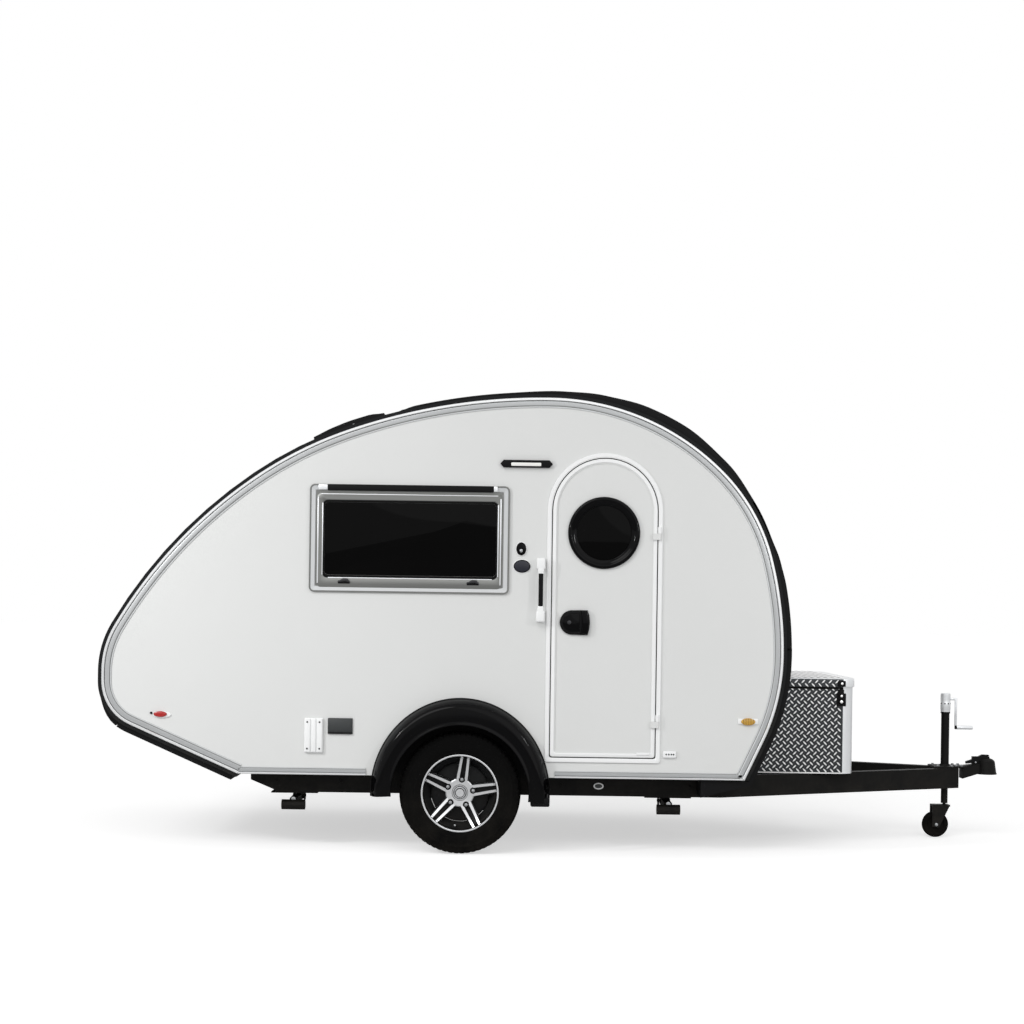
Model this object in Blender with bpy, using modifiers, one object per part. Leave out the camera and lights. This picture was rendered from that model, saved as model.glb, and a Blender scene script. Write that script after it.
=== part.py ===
"""Teardrop travel trailer: sandwich-panel cabin on an A-frame chassis, as separate named pieces.

Metres. +X forward, +Y to the trailer's left, +Z up from the ground. Every place below is measured from the
wheel axle's vertical plane and the ground; the axle_datum empty then moves the whole trailer so that the
origin lies under the middle of its length.
"""

import math
from collections import namedtuple

import bmesh
import bpy
from mathutils import Matrix, Vector

# Clearances
FIT = 0.0003  # joint line between pieces that touch
RUN_GAP = 0.005  # free space round a moving piece
PIN_GAP = 0.0005  # radial play of a pin or spindle in its bore

# Side outline, walked clockwise as seen from the trailer's right, from the lower rear corner
Segment = namedtuple("Segment", "name size turn")
SIDE_START = (-1.124, 0.390)
SIDE_HEADING = 156.3
SIDE_SEGMENTS = (
    # a turn of 0 makes a straight of that length, else an arc of that radius
    Segment("rear slope", 0.600, 0.0),
    Segment("rear lower corner", 0.240, 66.5),
    Segment("rear upright", 0.050, 0.0),
    Segment("rear upper corner", 0.460, 30.0),
    Segment("rear roof", 2.400, 25.0),
    Segment("middle roof", 1.970, 15.0),
    Segment("top roof", 3.000, 20.0),
    Segment("front brow", 1.250, 45.0),
    Segment("front top", 0.950, 30.0),
    Segment("front face", 1.910, 15.0),
    Segment("front lower corner", 1.030, 25.0),
)
SIDE_BOTTOM = 0.390
ARC_STEP = math.radians(3.8)

# Cabin
BODY_HALF = 0.950  # outer face of a side panel
PANEL = 0.030  # sandwich panel thickness
SKIN = 0.020  # wrap-round skin thickness
SKIN_SETBACK = 0.001  # of the skin's edge from the side panel's face
FLOOR = 0.030
TRIM_WIDTH = 0.058
TRIM_PROUD = 0.006
TRIM_BEAD = 0.014
TRIM_BEAD_PROUD = 0.013
TRIM_SILL = 0.044
SILL_START = 0.4775  # from the axle, clear of the fender

# Wheels and axle
AXLE_Z = 0.3075
TYRE_RADIUS = 0.3075
TYRE_HALF = 0.095
WHEEL_PLANE = BODY_HALF - 0.060  # y of the wheel's centre plane
BEAD_RADIUS = 0.178
BEAD_HALF = 0.0785
RIM_RADIUS = 0.1975
RIM_LIP = 0.0088
SPINDLE_RADIUS = 0.020
DRUM_RADIUS = 0.110
WHEEL_STEPS = 40
SPOKE_PAIRS = 5
SPOKE_FIRST = 82.0  # degrees up from forwards, seen from the trailer's right
SPOKE_ROOT = 0.021  # half width of a spoke pair at the hub
SPOKE_END = 0.038  # half width of a spoke pair at its tip
SLOT_ROOT = 0.004
SLOT_END = 0.010
HUB_FACE = 0.064
SPOKE_TIP = 0.160

WELL_RADIUS = 0.370
WELL_SHEET = 0.006
WELL_INNER = BODY_HALF - 0.185

# Chassis
FRAME_TOP = SIDE_BOTTOM - FIT
RAIL_DEPTH = 0.110
RAIL_WIDTH = 0.050
RAIL_OUTER = BODY_HALF - 0.205
RAIL_REAR = -1.085
BEND_X = 1.330
JACK_X = 2.683
ARM_TIP = 2.772
JACK_PASS = 0.064  # clear width between the arms where the jack passes

# Door
DOOR_X0 = 0.424
DOOR_X1 = 1.007
DOOR_Z0 = 0.470
DOOR_Z1 = 2.032
FRAME_LIP = 0.022
FRAME_FLANGE = 0.010
HINGE_OUT = 0.015
HINGE_HEIGHTS = (0.682, 1.631)
HINGE_LENGTH = 0.066
HINGE_RADIUS = 0.008
PORTHOLE = (0.710, 1.630)
PORTHOLE_RADIUS = 0.182
PORTHOLE_BORE = 0.150

# Stretches of the skin, from the outline point nearest to one place (x, z) to that nearest to the other
HATCH_ENDS = ((-0.829, 2.03), (-0.372, 2.21))
FRONT_GLASS_ENDS = ((0.46, 2.32), (1.385, 1.88))
REAR_GLASS_ENDS = ((-1.802, 1.06), (-1.56, 1.425))
FRONT_GUARD_TOP = (1.66, 1.06)
REAR_GUARD_TOP = (-1.710, 0.662)

# Side window
WINDOW_BOX = (-0.777, 1.313, 0.232, 1.858)
WINDOW_RADIUS = 0.030
WINDOW_FRAME = 0.034
WINDOW_PROUD = 0.012

BALL_X = 2.915
BELL_RADIUS = 0.056

FINISHES = {
    # sRGB colour, roughness, metallic
    "white_gelcoat": ((222, 223, 222), 0.35, 0.0),
    "white_paint": ((238, 239, 238), 0.30, 0.0),
    "grey_frame": ((120, 122, 124), 0.40, 0.0),
    "black_skin": ((26, 27, 28), 0.38, 0.0),
    "black_gloss": ((14, 14, 15), 0.12, 0.0),
    "black_satin": ((22, 22, 23), 0.45, 0.0),
    "chassis_black": ((20, 20, 21), 0.50, 0.2),
    "tinted_glass": ((12, 13, 14), 0.06, 0.0),
    "bright_aluminium": ((196, 198, 200), 0.30, 1.0),
    "plate_aluminium": ((182, 184, 186), 0.38, 1.0),
    "machined_alloy": ((188, 190, 193), 0.28, 1.0),
    "rubber": ((24, 24, 25), 0.85, 0.0),
    "floor_board": ((92, 88, 82), 0.80, 0.0),
    "red_lens": ((150, 18, 20), 0.15, 0.0),
    "zinc_steel": ((168, 170, 172), 0.40, 1.0),
}

parts = bpy.data.collections.new("teardrop_trailer")
helpers = bpy.data.collections.new("cutters")


# Outline


def side_segments():
    """The outline's segments with start point, start heading in radians and length."""
    x, z = SIDE_START
    heading = math.radians(SIDE_HEADING)
    rows = []
    for segment in SIDE_SEGMENTS:
        turn = math.radians(segment.turn)
        length = segment.size * turn if turn else segment.size
        rows.append((x, z, heading, turn, length, segment.size))
        if turn:
            chord = 2 * segment.size * math.sin(turn / 2)
            x += chord * math.cos(heading - turn / 2)
            z += chord * math.sin(heading - turn / 2)
            heading -= turn
        else:
            x += length * math.cos(heading)
            z += length * math.sin(heading)
    last = (SIDE_BOTTOM - z) / math.sin(heading)
    rows.append((x, z, heading, 0.0, last, last))
    return rows


ROWS = side_segments()
SIDE_LENGTH = sum(row[4] for row in ROWS)


def side_point(station, offset):
    """Point (x, z) at a walked length of the outline, moved outwards by offset."""
    for row in ROWS:
        x, z, heading, turn, length, size = row
        if station <= length or row is ROWS[-1]:
            break
        station -= length
    if turn:
        part = station / size
        chord = 2 * size * math.sin(part / 2)
        x += chord * math.cos(heading - part / 2)
        z += chord * math.sin(heading - part / 2)
        heading -= part
    else:
        x += station * math.cos(heading)
        z += station * math.sin(heading)
    return x - offset * math.sin(heading), z + offset * math.cos(heading)


def side_stations(start, end):
    """Walked lengths from start to end, dense enough for smooth arcs."""
    stations = [start]
    base = 0.0
    for x, z, heading, turn, length, size in ROWS:
        pieces = max(1, math.ceil(turn / ARC_STEP))
        stations += [base + length * i / pieces for i in range(pieces + 1)]
        base += length
    inside = [s for s in stations if start + 0.004 < s < end - 0.004]
    return [start] + sorted({round(s, 6) for s in inside}) + [end]


def station_at(x, z):
    """Walked length of the outline's point nearest to (x, z)."""
    count = 2000
    steps = (SIDE_LENGTH * i / count for i in range(count + 1))
    return min(steps, key=lambda s: math.dist(side_point(s, 0.0), (x, z)))


def band(start, end, inner, outer, pieces=0):
    """Closed outline of a strip that follows the side outline, in even pieces if asked."""
    stations = side_stations(start, end)
    if pieces:
        stations = [start + (end - start) * i / pieces for i in range(pieces + 1)]
    return [side_point(s, inner) for s in stations] + [side_point(s, outer) for s in reversed(stations)]


def arc(cx, cz, radius, start, end, pieces):
    """Points on an arc, angles in degrees."""
    angles = [math.radians(start + (end - start) * i / pieces) for i in range(pieces + 1)]
    return [(cx + radius * math.cos(a), cz + radius * math.sin(a)) for a in angles]


def rounded_box(box, radius, inset=0.0):
    """Rounded rectangle (x0, z0, x1, z1) drawn in by inset, always with the same number of points."""
    x0, z0, x1, z1 = box[0] + inset, box[1] + inset, box[2] - inset, box[3] - inset
    r = max(radius - inset, 0.004)
    corners = ((x1 - r, z0 + r, 270), (x1 - r, z1 - r, 0), (x0 + r, z1 - r, 90), (x0 + r, z0 + r, 180))
    return [p for cx, cz, a in corners for p in arc(cx, cz, r, a, a + 90, 4)]


def sheet_outline(stations, half, radius, inset, pieces=10):
    """Rounded rectangle in (station, y) on the skin, its long sides divided to follow the curve."""
    corners = rounded_box((stations[0], -half, stations[1], half), radius, inset)
    points = []
    for a, b in zip(corners, corners[1:] + corners[:1]):
        points.append(a)
        if math.dist(a, b) > 2 * radius:
            steps = (i / pieces for i in range(1, pieces))
            points += [(a[0] + (b[0] - a[0]) * t, a[1] + (b[1] - a[1]) * t) for t in steps]
    return points


def door_outline(inset):
    """The arched door outline drawn in by inset."""
    x0, x1 = DOOR_X0 + inset, DOOR_X1 - inset
    radius = (x1 - x0) / 2
    spring = DOOR_Z1 - (DOOR_X1 - DOOR_X0) / 2
    corner = 0.012
    z0 = DOOR_Z0 + inset
    arch = arc((x0 + x1) / 2, spring, radius, 0, 180, 24)
    left = arc(x0 + corner, z0 + corner, corner, 180, 270, 3)
    right = arc(x1 - corner, z0 + corner, corner, 270, 360, 3)
    return arch + left + right


def well_outline(radius, skirt=0.0):
    """Arch over the wheel down to the panel's bottom edge, with straight sides of length skirt below it."""
    drop = math.degrees(math.asin((SIDE_BOTTOM - AXLE_Z) / radius))
    arch = arc(0.0, AXLE_Z, radius, drop, 180 - drop, 24)
    ends = [(arch[-1][0], SIDE_BOTTOM - skirt), (arch[0][0], SIDE_BOTTOM - skirt)]
    return arch + (ends if skirt else [])


# Building


def finish(obj, name):
    """Gives the object a Principled material of its own."""
    colour, roughness, metallic = FINISHES[name]
    material = bpy.data.materials.new(f"{obj.name}_{name}")
    material.use_nodes = True
    shader = material.node_tree.nodes["Principled BSDF"]
    linear = [(c / 255 / 12.92) if c <= 10 else ((c / 255 + 0.055) / 1.055) ** 2.4 for c in colour]
    shader.inputs["Base Color"].default_value = (*linear, 1.0)
    shader.inputs["Roughness"].default_value = roughness
    shader.inputs["Metallic"].default_value = metallic
    obj.data.materials.clear()
    obj.data.materials.append(material)


def shade(mesh):
    mesh.shade_smooth()
    mesh.set_sharp_from_angle(angle=math.radians(32))


def new_object(name, mesh, finish_name=None):
    """Links a mesh object: a part when it has a finish, else a helper."""
    obj = bpy.data.objects.new(name, mesh)
    (parts if finish_name else helpers).objects.link(obj)
    obj.parent = datum
    if finish_name:
        finish(obj, finish_name)
    else:
        obj.hide_render = True
        obj.display_type = "WIRE"
    return obj


def mesh_from(name, bm):
    mesh = bpy.data.meshes.new(name)
    bm.to_mesh(mesh)
    bm.free()
    shade(mesh)
    return mesh


def flat_mesh(name, loops, low, high):
    """Extrudes flat closed outlines (later ones may be holes) from low to high along local Z."""
    curve = bpy.data.curves.new(name, "CURVE")
    curve.dimensions = "2D"
    curve.fill_mode = "BOTH"
    curve.extrude = (high - low) / 2
    for loop in loops:
        spline = curve.splines.new("POLY")
        spline.points.add(len(loop) - 1)
        for point, (u, v) in zip(spline.points, loop):
            point.co = (u, v, 0.0, 1.0)
        spline.use_cyclic_u = True
    holder = bpy.data.objects.new(name, curve)
    mesh = bpy.data.meshes.new_from_object(holder)
    bpy.data.objects.remove(holder)
    bpy.data.curves.remove(curve)
    mesh.transform(Matrix.Translation((0, 0, (low + high) / 2)))
    bm = bmesh.new()
    bm.from_mesh(mesh)
    bpy.data.meshes.remove(mesh)
    bmesh.ops.remove_doubles(bm, verts=bm.verts, dist=1e-6)
    bmesh.ops.recalc_face_normals(bm, faces=bm.faces)
    return bm


def plate_xz(name, loops, y0, y1, finish_name=None):
    """Plate with outlines in (x, z), between two y values."""
    low, high = sorted((-y0, -y1))
    bm = flat_mesh(name, loops, low, high)
    bm.transform(Matrix.Rotation(math.pi / 2, 4, "X"))
    return new_object(name, mesh_from(name, bm), finish_name)


def plate_xy(name, loops, z0, z1, finish_name=None):
    """Plate with outlines in (x, y), between two heights."""
    return new_object(name, mesh_from(name, flat_mesh(name, loops, z0, z1)), finish_name)


def plate_yz(name, loops, x0, x1, finish_name=None):
    """Plate with outlines in (y, z), between two x values."""
    bm = flat_mesh(name, loops, x0, x1)
    bm.transform(Matrix(((0, 0, 1, 0), (1, 0, 0, 0), (0, 1, 0, 0), (0, 0, 0, 1))))
    return new_object(name, mesh_from(name, bm), finish_name)


def box(name, low, high, finish_name=None, bevel=0.0, segments=2):
    """Block between two corners, with rounded edges if asked."""
    bm = bmesh.new()
    bmesh.ops.create_cube(bm, size=1.0)
    size = [abs(h - l) for l, h in zip(low, high)]
    middle = [(h + l) / 2 for l, h in zip(low, high)]
    bmesh.ops.scale(bm, vec=size, verts=bm.verts)
    bmesh.ops.translate(bm, vec=middle, verts=bm.verts)
    if bevel:
        bmesh.ops.bevel(
            bm, geom=list(bm.edges), offset=bevel, segments=segments, profile=0.5, affect="EDGES", material=-1
        )
    return new_object(name, mesh_from(name, bm), finish_name)


def cylinder(name, start, end, radius, finish_name=None, steps=20, end_radius=None):
    """Round bar between two points."""
    start, end = Vector(start), Vector(end)
    bm = bmesh.new()
    bmesh.ops.create_cone(
        bm,
        cap_ends=True,
        segments=steps,
        radius1=radius,
        radius2=radius if end_radius is None else end_radius,
        depth=(end - start).length,
    )
    turn = (end - start).to_track_quat("Z", "Y").to_matrix().to_4x4()
    bm.transform(Matrix.Translation((start + end) / 2) @ turn)
    return new_object(name, mesh_from(name, bm), finish_name)


def loft(name, loops, finish_name=None, closed=False):
    """Solid through loops of points with equal counts; closed joins the last loop to the first."""
    bm = bmesh.new()
    rows = [[bm.verts.new(p) for p in loop] for loop in loops]
    pairs = list(zip(rows, rows[1:]))
    if closed:
        pairs.append((rows[-1], rows[0]))
    for a, b in pairs:
        for i in range(len(a)):
            j = (i + 1) % len(a)
            bm.faces.new((a[i], a[j], b[j], b[i]))
    if not closed:
        bm.faces.new(rows[0])
        bm.faces.new(rows[-1])
    bmesh.ops.recalc_face_normals(bm, faces=bm.faces)
    return new_object(name, mesh_from(name, bm), finish_name)


def ring(name, outline, section, finish_name=None):
    """Frame that sweeps a closed section of (inset, y) round an outline in (x, z)."""
    loops = [[(x, y, z) for x, z in outline(inset)] for inset, y in section]
    return loft(name, loops, finish_name, closed=True)


def skin_ring(name, stations, half, radius, section, finish_name=None):
    """Frame that sweeps a closed section of (inset, offset) round a rounded rectangle on the skin."""
    loops = []
    for inset, offset in section:
        points = sheet_outline(stations, half, radius, inset)
        loops.append([(x, y, z) for (x, z), y in ((side_point(s, offset), y) for s, y in points)])
    return loft(name, loops, finish_name, closed=True)


def turned(name, profile, centre, outward, finish_name=None, steps=WHEEL_STEPS):
    """Solid turned about a Y axis; profile rows are (radius, distance outwards from centre)."""
    mesh = bpy.data.meshes.new(name)
    points = [(r, 0.0, w) for r, w in profile]
    closing = [] if profile[0][0] == 0 else [(len(points) - 1, 0)]
    mesh.from_pydata(points, [(i, i + 1) for i in range(len(points) - 1)] + closing, [])
    obj = new_object(name, mesh, finish_name)
    screw = obj.modifiers.new("Turn", "SCREW")
    screw.axis = "Z"
    screw.steps = screw.render_steps = steps
    screw.use_merge_vertices = True
    screw.merge_threshold = 0.0001
    screw.use_smooth_shade = True
    screw.use_normal_calculate = True
    obj.location = centre
    obj.rotation_euler = (-math.pi / 2 * outward, 0, 0)
    return obj


def boolean(obj, other, operation="DIFFERENCE"):
    modifier = obj.modifiers.new(other.name, "BOOLEAN")
    modifier.operation = operation
    modifier.solver = "EXACT"
    modifier.object = other
    return obj


def cut(obj, *others):
    for other in others:
        boolean(obj, other)
    return obj


def join(obj, *others):
    for other in others:
        boolean(obj, other, "UNION")
    return obj


def pivot(obj, point):
    """Moves the object's origin to a point, leaving its shape in place."""
    point = Vector(point)
    obj.data.transform(Matrix.Translation(-point))
    obj.location = point
    return obj


def carry(child, parent):
    """Parents a piece to the moving piece that carries it."""
    child.parent = parent
    child.location = Vector(child.location) - Vector(parent.location)


for old in list(bpy.data.objects):
    bpy.data.objects.remove(old)
bpy.context.scene.collection.children.link(parts)
bpy.context.scene.collection.children.link(helpers)
datum = bpy.data.objects.new("axle_datum", None)
parts.objects.link(datum)
body_rear = min(side_point(s, SKIN)[0] for s in side_stations(0.0, SIDE_LENGTH))
datum.location = (-(body_rear + BALL_X + BELL_RADIUS) / 2, 0, 0)

SIDES = (("right", -1), ("left", 1))
INNER_HALF = BODY_HALF - PANEL

# Side panels, trims and windows


def panel_outline():
    return [side_point(s, 0.0) for s in side_stations(0.0, SIDE_LENGTH)] + well_outline(WELL_RADIUS)


def window_outline(inset):
    return rounded_box(WINDOW_BOX, WINDOW_RADIUS, inset)


for label, side in SIDES:
    face = side * BODY_HALF
    holes = [window_outline(FRAME_FLANGE - FIT)]
    if label == "right":
        holes.append(door_outline(FRAME_FLANGE - FIT))
    plate_xz(f"side_panel_{label}", [panel_outline()] + holes, side * INNER_HALF, face, "white_gelcoat")

    seat = side * (BODY_HALF + FIT)
    proud = side * (BODY_HALF + TRIM_PROUD)
    crest = side * (BODY_HALF + TRIM_BEAD_PROUD)
    section = (
        (0.0, seat),
        (0.0, crest - side * 0.004),
        (-0.004, crest),
        (-TRIM_BEAD + 0.003, crest),
        (-TRIM_BEAD, proud),
        (-TRIM_WIDTH, proud),
        (-TRIM_WIDTH, seat),
    )
    loops = []
    for s in side_stations(0.0, SIDE_LENGTH):
        loops.append([(p[0], y, p[1]) for p, y in ((side_point(s, o), y) for o, y in section)])
    trim = loft(f"edge_trim_{label}", loops, "bright_aluminium")
    sill_front = side_point(SIDE_LENGTH, 0)[0] - 0.010
    sills = (("rear", SIDE_START[0] + 0.001, -SILL_START), ("front", SILL_START, sill_front))
    for end, x0, x1 in sills:
        low = (x0, seat, SIDE_BOTTOM)
        high = (x1, proud, SIDE_BOTTOM + TRIM_SILL)
        join(trim, box(f"sill_{end}_{label}", low, high))

    lip = side * (BODY_HALF + WINDOW_PROUD)
    section = (
        (0.0, seat),
        (0.0, lip - side * 0.003),
        (0.003, lip),
        (WINDOW_FRAME, lip),
        (WINDOW_FRAME, side * INNER_HALF),
        (FRAME_FLANGE, side * INNER_HALF),
        (FRAME_FLANGE, seat),
    )
    ring(f"window_frame_{label}", window_outline, section, "grey_frame")
    pane = [window_outline(WINDOW_FRAME + FIT)]
    y0, y1 = side * (BODY_HALF - 0.018), side * (BODY_HALF + 0.006)
    plate_xz(f"window_pane_{label}", pane, y0, y1, "tinted_glass")

# Wrap-round skin, floor and guards

HATCH = tuple(station_at(*end) for end in HATCH_ENDS)
FRONT_GLASS = tuple(station_at(*end) for end in FRONT_GLASS_ENDS)
REAR_GLASS = tuple(station_at(*end) for end in REAR_GLASS_ENDS)
HATCH_HALF = 0.230
GLASS_HALF = BODY_HALF - 0.250
REAR_GLASS_HALF = BODY_HALF - 0.430
GLASS_LAP = 0.030
SKIN_HALF = BODY_HALF - SKIN_SETBACK
SKIN_OUT = SKIN + FIT

skin = plate_xz("roof_skin", [band(0.0, SIDE_LENGTH, FIT, SKIN)], -SKIN_HALF, SKIN_HALF, "black_skin")


def opening(name, stations, half, lap):
    """Cutter through the skin, drawn in by lap on each side."""
    strip = band(stations[0] + lap, stations[1] - lap, -0.02, SKIN + 0.02)
    return plate_xz(name, [strip], -half + lap, half - lap)


front_end = side_point(SIDE_LENGTH, 0.0)[0]
foot_low = (front_end - 0.05, -BODY_HALF - 0.05, SIDE_BOTTOM - 0.09)
cut(skin, box("skin_foot_cut", foot_low, (front_end + 0.08, BODY_HALF + 0.05, SIDE_BOTTOM)))
cut(skin, opening("hatch_cut", HATCH, HATCH_HALF, 0.030))
cut(skin, opening("front_glass_cut", FRONT_GLASS, GLASS_HALF, GLASS_LAP))
cut(skin, opening("rear_glass_cut", REAR_GLASS, REAR_GLASS_HALF, GLASS_LAP))

plate_xz(
    "front_window", [band(*FRONT_GLASS, SKIN_OUT, SKIN_OUT + 0.010)], -GLASS_HALF, GLASS_HALF, "tinted_glass"
)
plate_xz(
    "rear_window",
    [band(*REAR_GLASS, SKIN_OUT, SKIN_OUT + 0.014)],
    -REAR_GLASS_HALF,
    REAR_GLASS_HALF,
    "tinted_glass",
)

HATCH_RIM = SKIN_OUT + 0.018
hatch_section = (
    (0.0, SKIN_OUT),
    (0.004, HATCH_RIM),
    (0.036, HATCH_RIM),
    (0.036, FIT),
    (0.0305, FIT),
    (0.0305, SKIN_OUT),
)
skin_ring("hatch_frame", HATCH, HATCH_HALF, 0.040, hatch_section, "black_satin")
HATCH_LID = 0.022
HATCH_KNUCKLE = 0.007
lid_low, lid_high = HATCH_RIM + FIT, HATCH_RIM + HATCH_LID
lid_stations = (HATCH[0] + 0.004, HATCH[1] - 0.020)
lid_strip = band(*lid_stations, lid_low, lid_high, pieces=12)
hatch_lid = plate_xz("hatch_lid", [lid_strip], -HATCH_HALF + 0.004, HATCH_HALF - 0.004, "black_gloss")
hatch_x, hatch_z = side_point(HATCH[1] - 0.017, lid_low + HATCH_KNUCKLE + FIT)
knuckle_half = HATCH_HALF - 0.060
hatch_pin = ((hatch_x, -knuckle_half, hatch_z), (hatch_x, knuckle_half, hatch_z))
join(hatch_lid, cylinder("hatch_knuckle", *hatch_pin, HATCH_KNUCKLE, steps=16))
pivot(hatch_lid, (hatch_x, 0, hatch_z))

front_low = station_at(*FRONT_GUARD_TOP)
GUARD = 0.025
GUARD_HALF = SKIN_HALF - 0.010
GUARD_LIFT = 0.036  # of the front guard's end above the floor line
front_guard = plate_xz(
    "front_guard",
    [band(front_low, SIDE_LENGTH - GUARD_LIFT, SKIN_OUT, SKIN_OUT + GUARD)],
    -GUARD_HALF,
    GUARD_HALF,
    "black_satin",
)
APRON_HEEL = (1.217, 0.298)
APRON_TOE = (1.462, 0.362)
guard_end = SIDE_LENGTH - GUARD_LIFT - 0.010
apron_outline = [
    side_point(guard_end, SKIN_OUT + 0.001),
    side_point(guard_end, SKIN_OUT + GUARD - 0.001),
    side_point(SIDE_LENGTH, SKIN_OUT + GUARD - 0.001),
    APRON_TOE,
    APRON_HEEL,
    (APRON_HEEL[0], FRAME_TOP),
    (front_end + 0.004, FRAME_TOP),
    side_point(SIDE_LENGTH, SKIN_OUT + 0.001),
]
for label, side in SIDES:
    y0, y1 = side * (RAIL_OUTER + 0.010), side * (GUARD_HALF - 0.001)
    join(front_guard, plate_xz(f"apron_{label}", [apron_outline], y0, y1))

rear_high = station_at(*REAR_GUARD_TOP)
plate_xz(
    "rear_guard",
    [band(0.02, rear_high, SKIN_OUT, SKIN_OUT + GUARD)],
    -GUARD_HALF,
    GUARD_HALF,
    "black_satin",
)

LAMP_INNER = BODY_HALF - 0.330
LAMP_OUTER = BODY_HALF - 0.090
for label, side in SIDES:
    start = rear_high + 0.006
    plate_xz(
        f"tail_lamp_{label}",
        [band(start, start + 0.090, SKIN_OUT, SKIN_OUT + 0.018)],
        side * LAMP_INNER,
        side * LAMP_OUTER,
        "red_lens",
    )


def skin_x(height, from_rear):
    """X of the skin's inner surface at a height near the floor."""
    stations = [SIDE_LENGTH * i / 3000 for i in range(3001)]
    points = [side_point(s, -FIT) for s in stations]
    points = [p for p in points if (p[0] < 0) == from_rear and p[1] < 0.8]
    return min(points, key=lambda p: abs(p[1] - height))[0]


floor_low, floor_high = SIDE_BOTTOM, SIDE_BOTTOM + FLOOR
floor_outline = [
    (skin_x(floor_low, True), floor_low),
    (skin_x(floor_low, False), floor_low),
    (skin_x(floor_high, False), floor_high),
    (skin_x(floor_high, True), floor_high),
]
floor = plate_xz("floor_panel", [floor_outline], -INNER_HALF + FIT, INNER_HALF - FIT, "floor_board")

# Wheel wells, fenders, wheels

for label, side in SIDES:
    inner = side * WELL_INNER
    outline = well_outline(WELL_RADIUS + WELL_SHEET)
    well = plate_xz(f"wheel_box_{label}", [outline], inner, side * (INNER_HALF - FIT), "black_satin")
    hollow = well_outline(WELL_RADIUS, skirt=0.02)
    cut(well, plate_xz(f"well_hollow_{label}", [hollow], inner + side * WELL_SHEET, side * BODY_HALF))
    outline = well_outline(WELL_RADIUS + WELL_SHEET + FIT, skirt=0.02)
    cut(floor, plate_xz(f"floor_cut_{label}", [outline], inner - side * FIT, side * BODY_HALF))

FENDER_TOP = 0.476  # above the axle, at the wall
FENDER_HALF = 0.450
FENDER_OUT = BODY_HALF + 0.080
FENDER_LIP = 0.345
FENDER_SHEET = 0.007
FENDER_ENDS = (-7.7, 178.9)  # degrees up from forwards, front and rear foot


def fender_ring(angle, radial, side, y):
    """Point on the fender at an angle, radial being the distance in from its outer edge at the wall."""
    a = math.radians(angle)
    c, s = math.cos(a), math.sin(a)
    if radial is None:
        r = FENDER_LIP
    else:
        edge = 1 / math.hypot(c / FENDER_HALF, s / FENDER_TOP) if s > 0 else FENDER_HALF / abs(c)
        r = edge - radial
    return (r * c, side * y, AXLE_Z + r * s)


for label, side in SIDES:
    wall = BODY_HALF + FIT
    section = (
        (0.0, wall),
        (0.010, wall + 0.030),
        (0.024, FENDER_OUT - 0.016),
        (0.034, FENDER_OUT - 0.005),
        (0.048, FENDER_OUT),
        (None, FENDER_OUT),
        (None, FENDER_OUT - FENDER_SHEET),
        (0.050, FENDER_OUT - FENDER_SHEET),
        (0.030, FENDER_OUT - 0.022),
        (0.018, wall + 0.030),
        (0.010, wall),
    )
    angles = [FENDER_ENDS[0]] + [180 * i / 30 for i in range(30)] + [FENDER_ENDS[1]]
    loops = [[fender_ring(a, r, side, y) for r, y in section] for a in angles]
    loft(f"fender_{label}", loops, "black_gloss")

TYRE_PROFILE = (
    # radius, distance from the wheel's centre plane; outer half, then the hollow
    (TYRE_RADIUS, 0.0),
    (TYRE_RADIUS, -0.052),
    (TYRE_RADIUS - 0.006, -0.074),
    (TYRE_RADIUS - 0.022, -0.088),
    (0.245, -TYRE_HALF),
    (0.208, -0.091),
    (RIM_RADIUS + 0.001, -0.087),
    (RIM_RADIUS + 0.001, -BEAD_HALF),
    (BEAD_RADIUS, -BEAD_HALF),
    (BEAD_RADIUS, -0.060),
    (0.205, -0.072),
    (0.245, -0.083),
    (0.284, -0.074),
    (0.295, -0.050),
    (0.295, 0.0),
)
mirrored = [(r, -w) for r, w in reversed(TYRE_PROFILE[1:-1])]
TYRE_LOOP = mirrored[7:] + [TYRE_PROFILE[0]] + list(TYRE_PROFILE[1:]) + mirrored[:7]

SEAT = BEAD_RADIUS - FIT
LIP = BEAD_HALF + FIT
RIM_PROFILE = (
    # from the centre of the face outwards, over the barrel, and back in to the spindle bore
    (0.0, HUB_FACE),
    (0.030, HUB_FACE),
    (0.034, HUB_FACE - 0.012),
    (0.066, HUB_FACE - 0.014),
    (0.120, 0.058),
    (0.160, 0.068),
    (0.176, 0.082),
    (RIM_RADIUS - 0.004, LIP + RIM_LIP),
    (RIM_RADIUS, LIP + RIM_LIP - 0.003),
    (RIM_RADIUS, LIP),
    (SEAT, LIP),
    (SEAT, -LIP),
    (RIM_RADIUS, -LIP),
    (RIM_RADIUS, -LIP - RIM_LIP),
    (RIM_RADIUS - 0.006, -LIP - RIM_LIP),
    (SEAT - 0.008, -LIP + 0.004),
    (SEAT - 0.008, 0.034),
    (DRUM_RADIUS, 0.022),
    (DRUM_RADIUS, -0.070),
    (DRUM_RADIUS - 0.008, -0.070),
    (DRUM_RADIUS - 0.008, 0.004),
    (0.045, 0.004),
    (0.045, -0.060),
    (SPINDLE_RADIUS + PIN_GAP, -0.060),
    (SPINDLE_RADIUS + PIN_GAP, 0.036),
    (0.0, 0.036),
)


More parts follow.
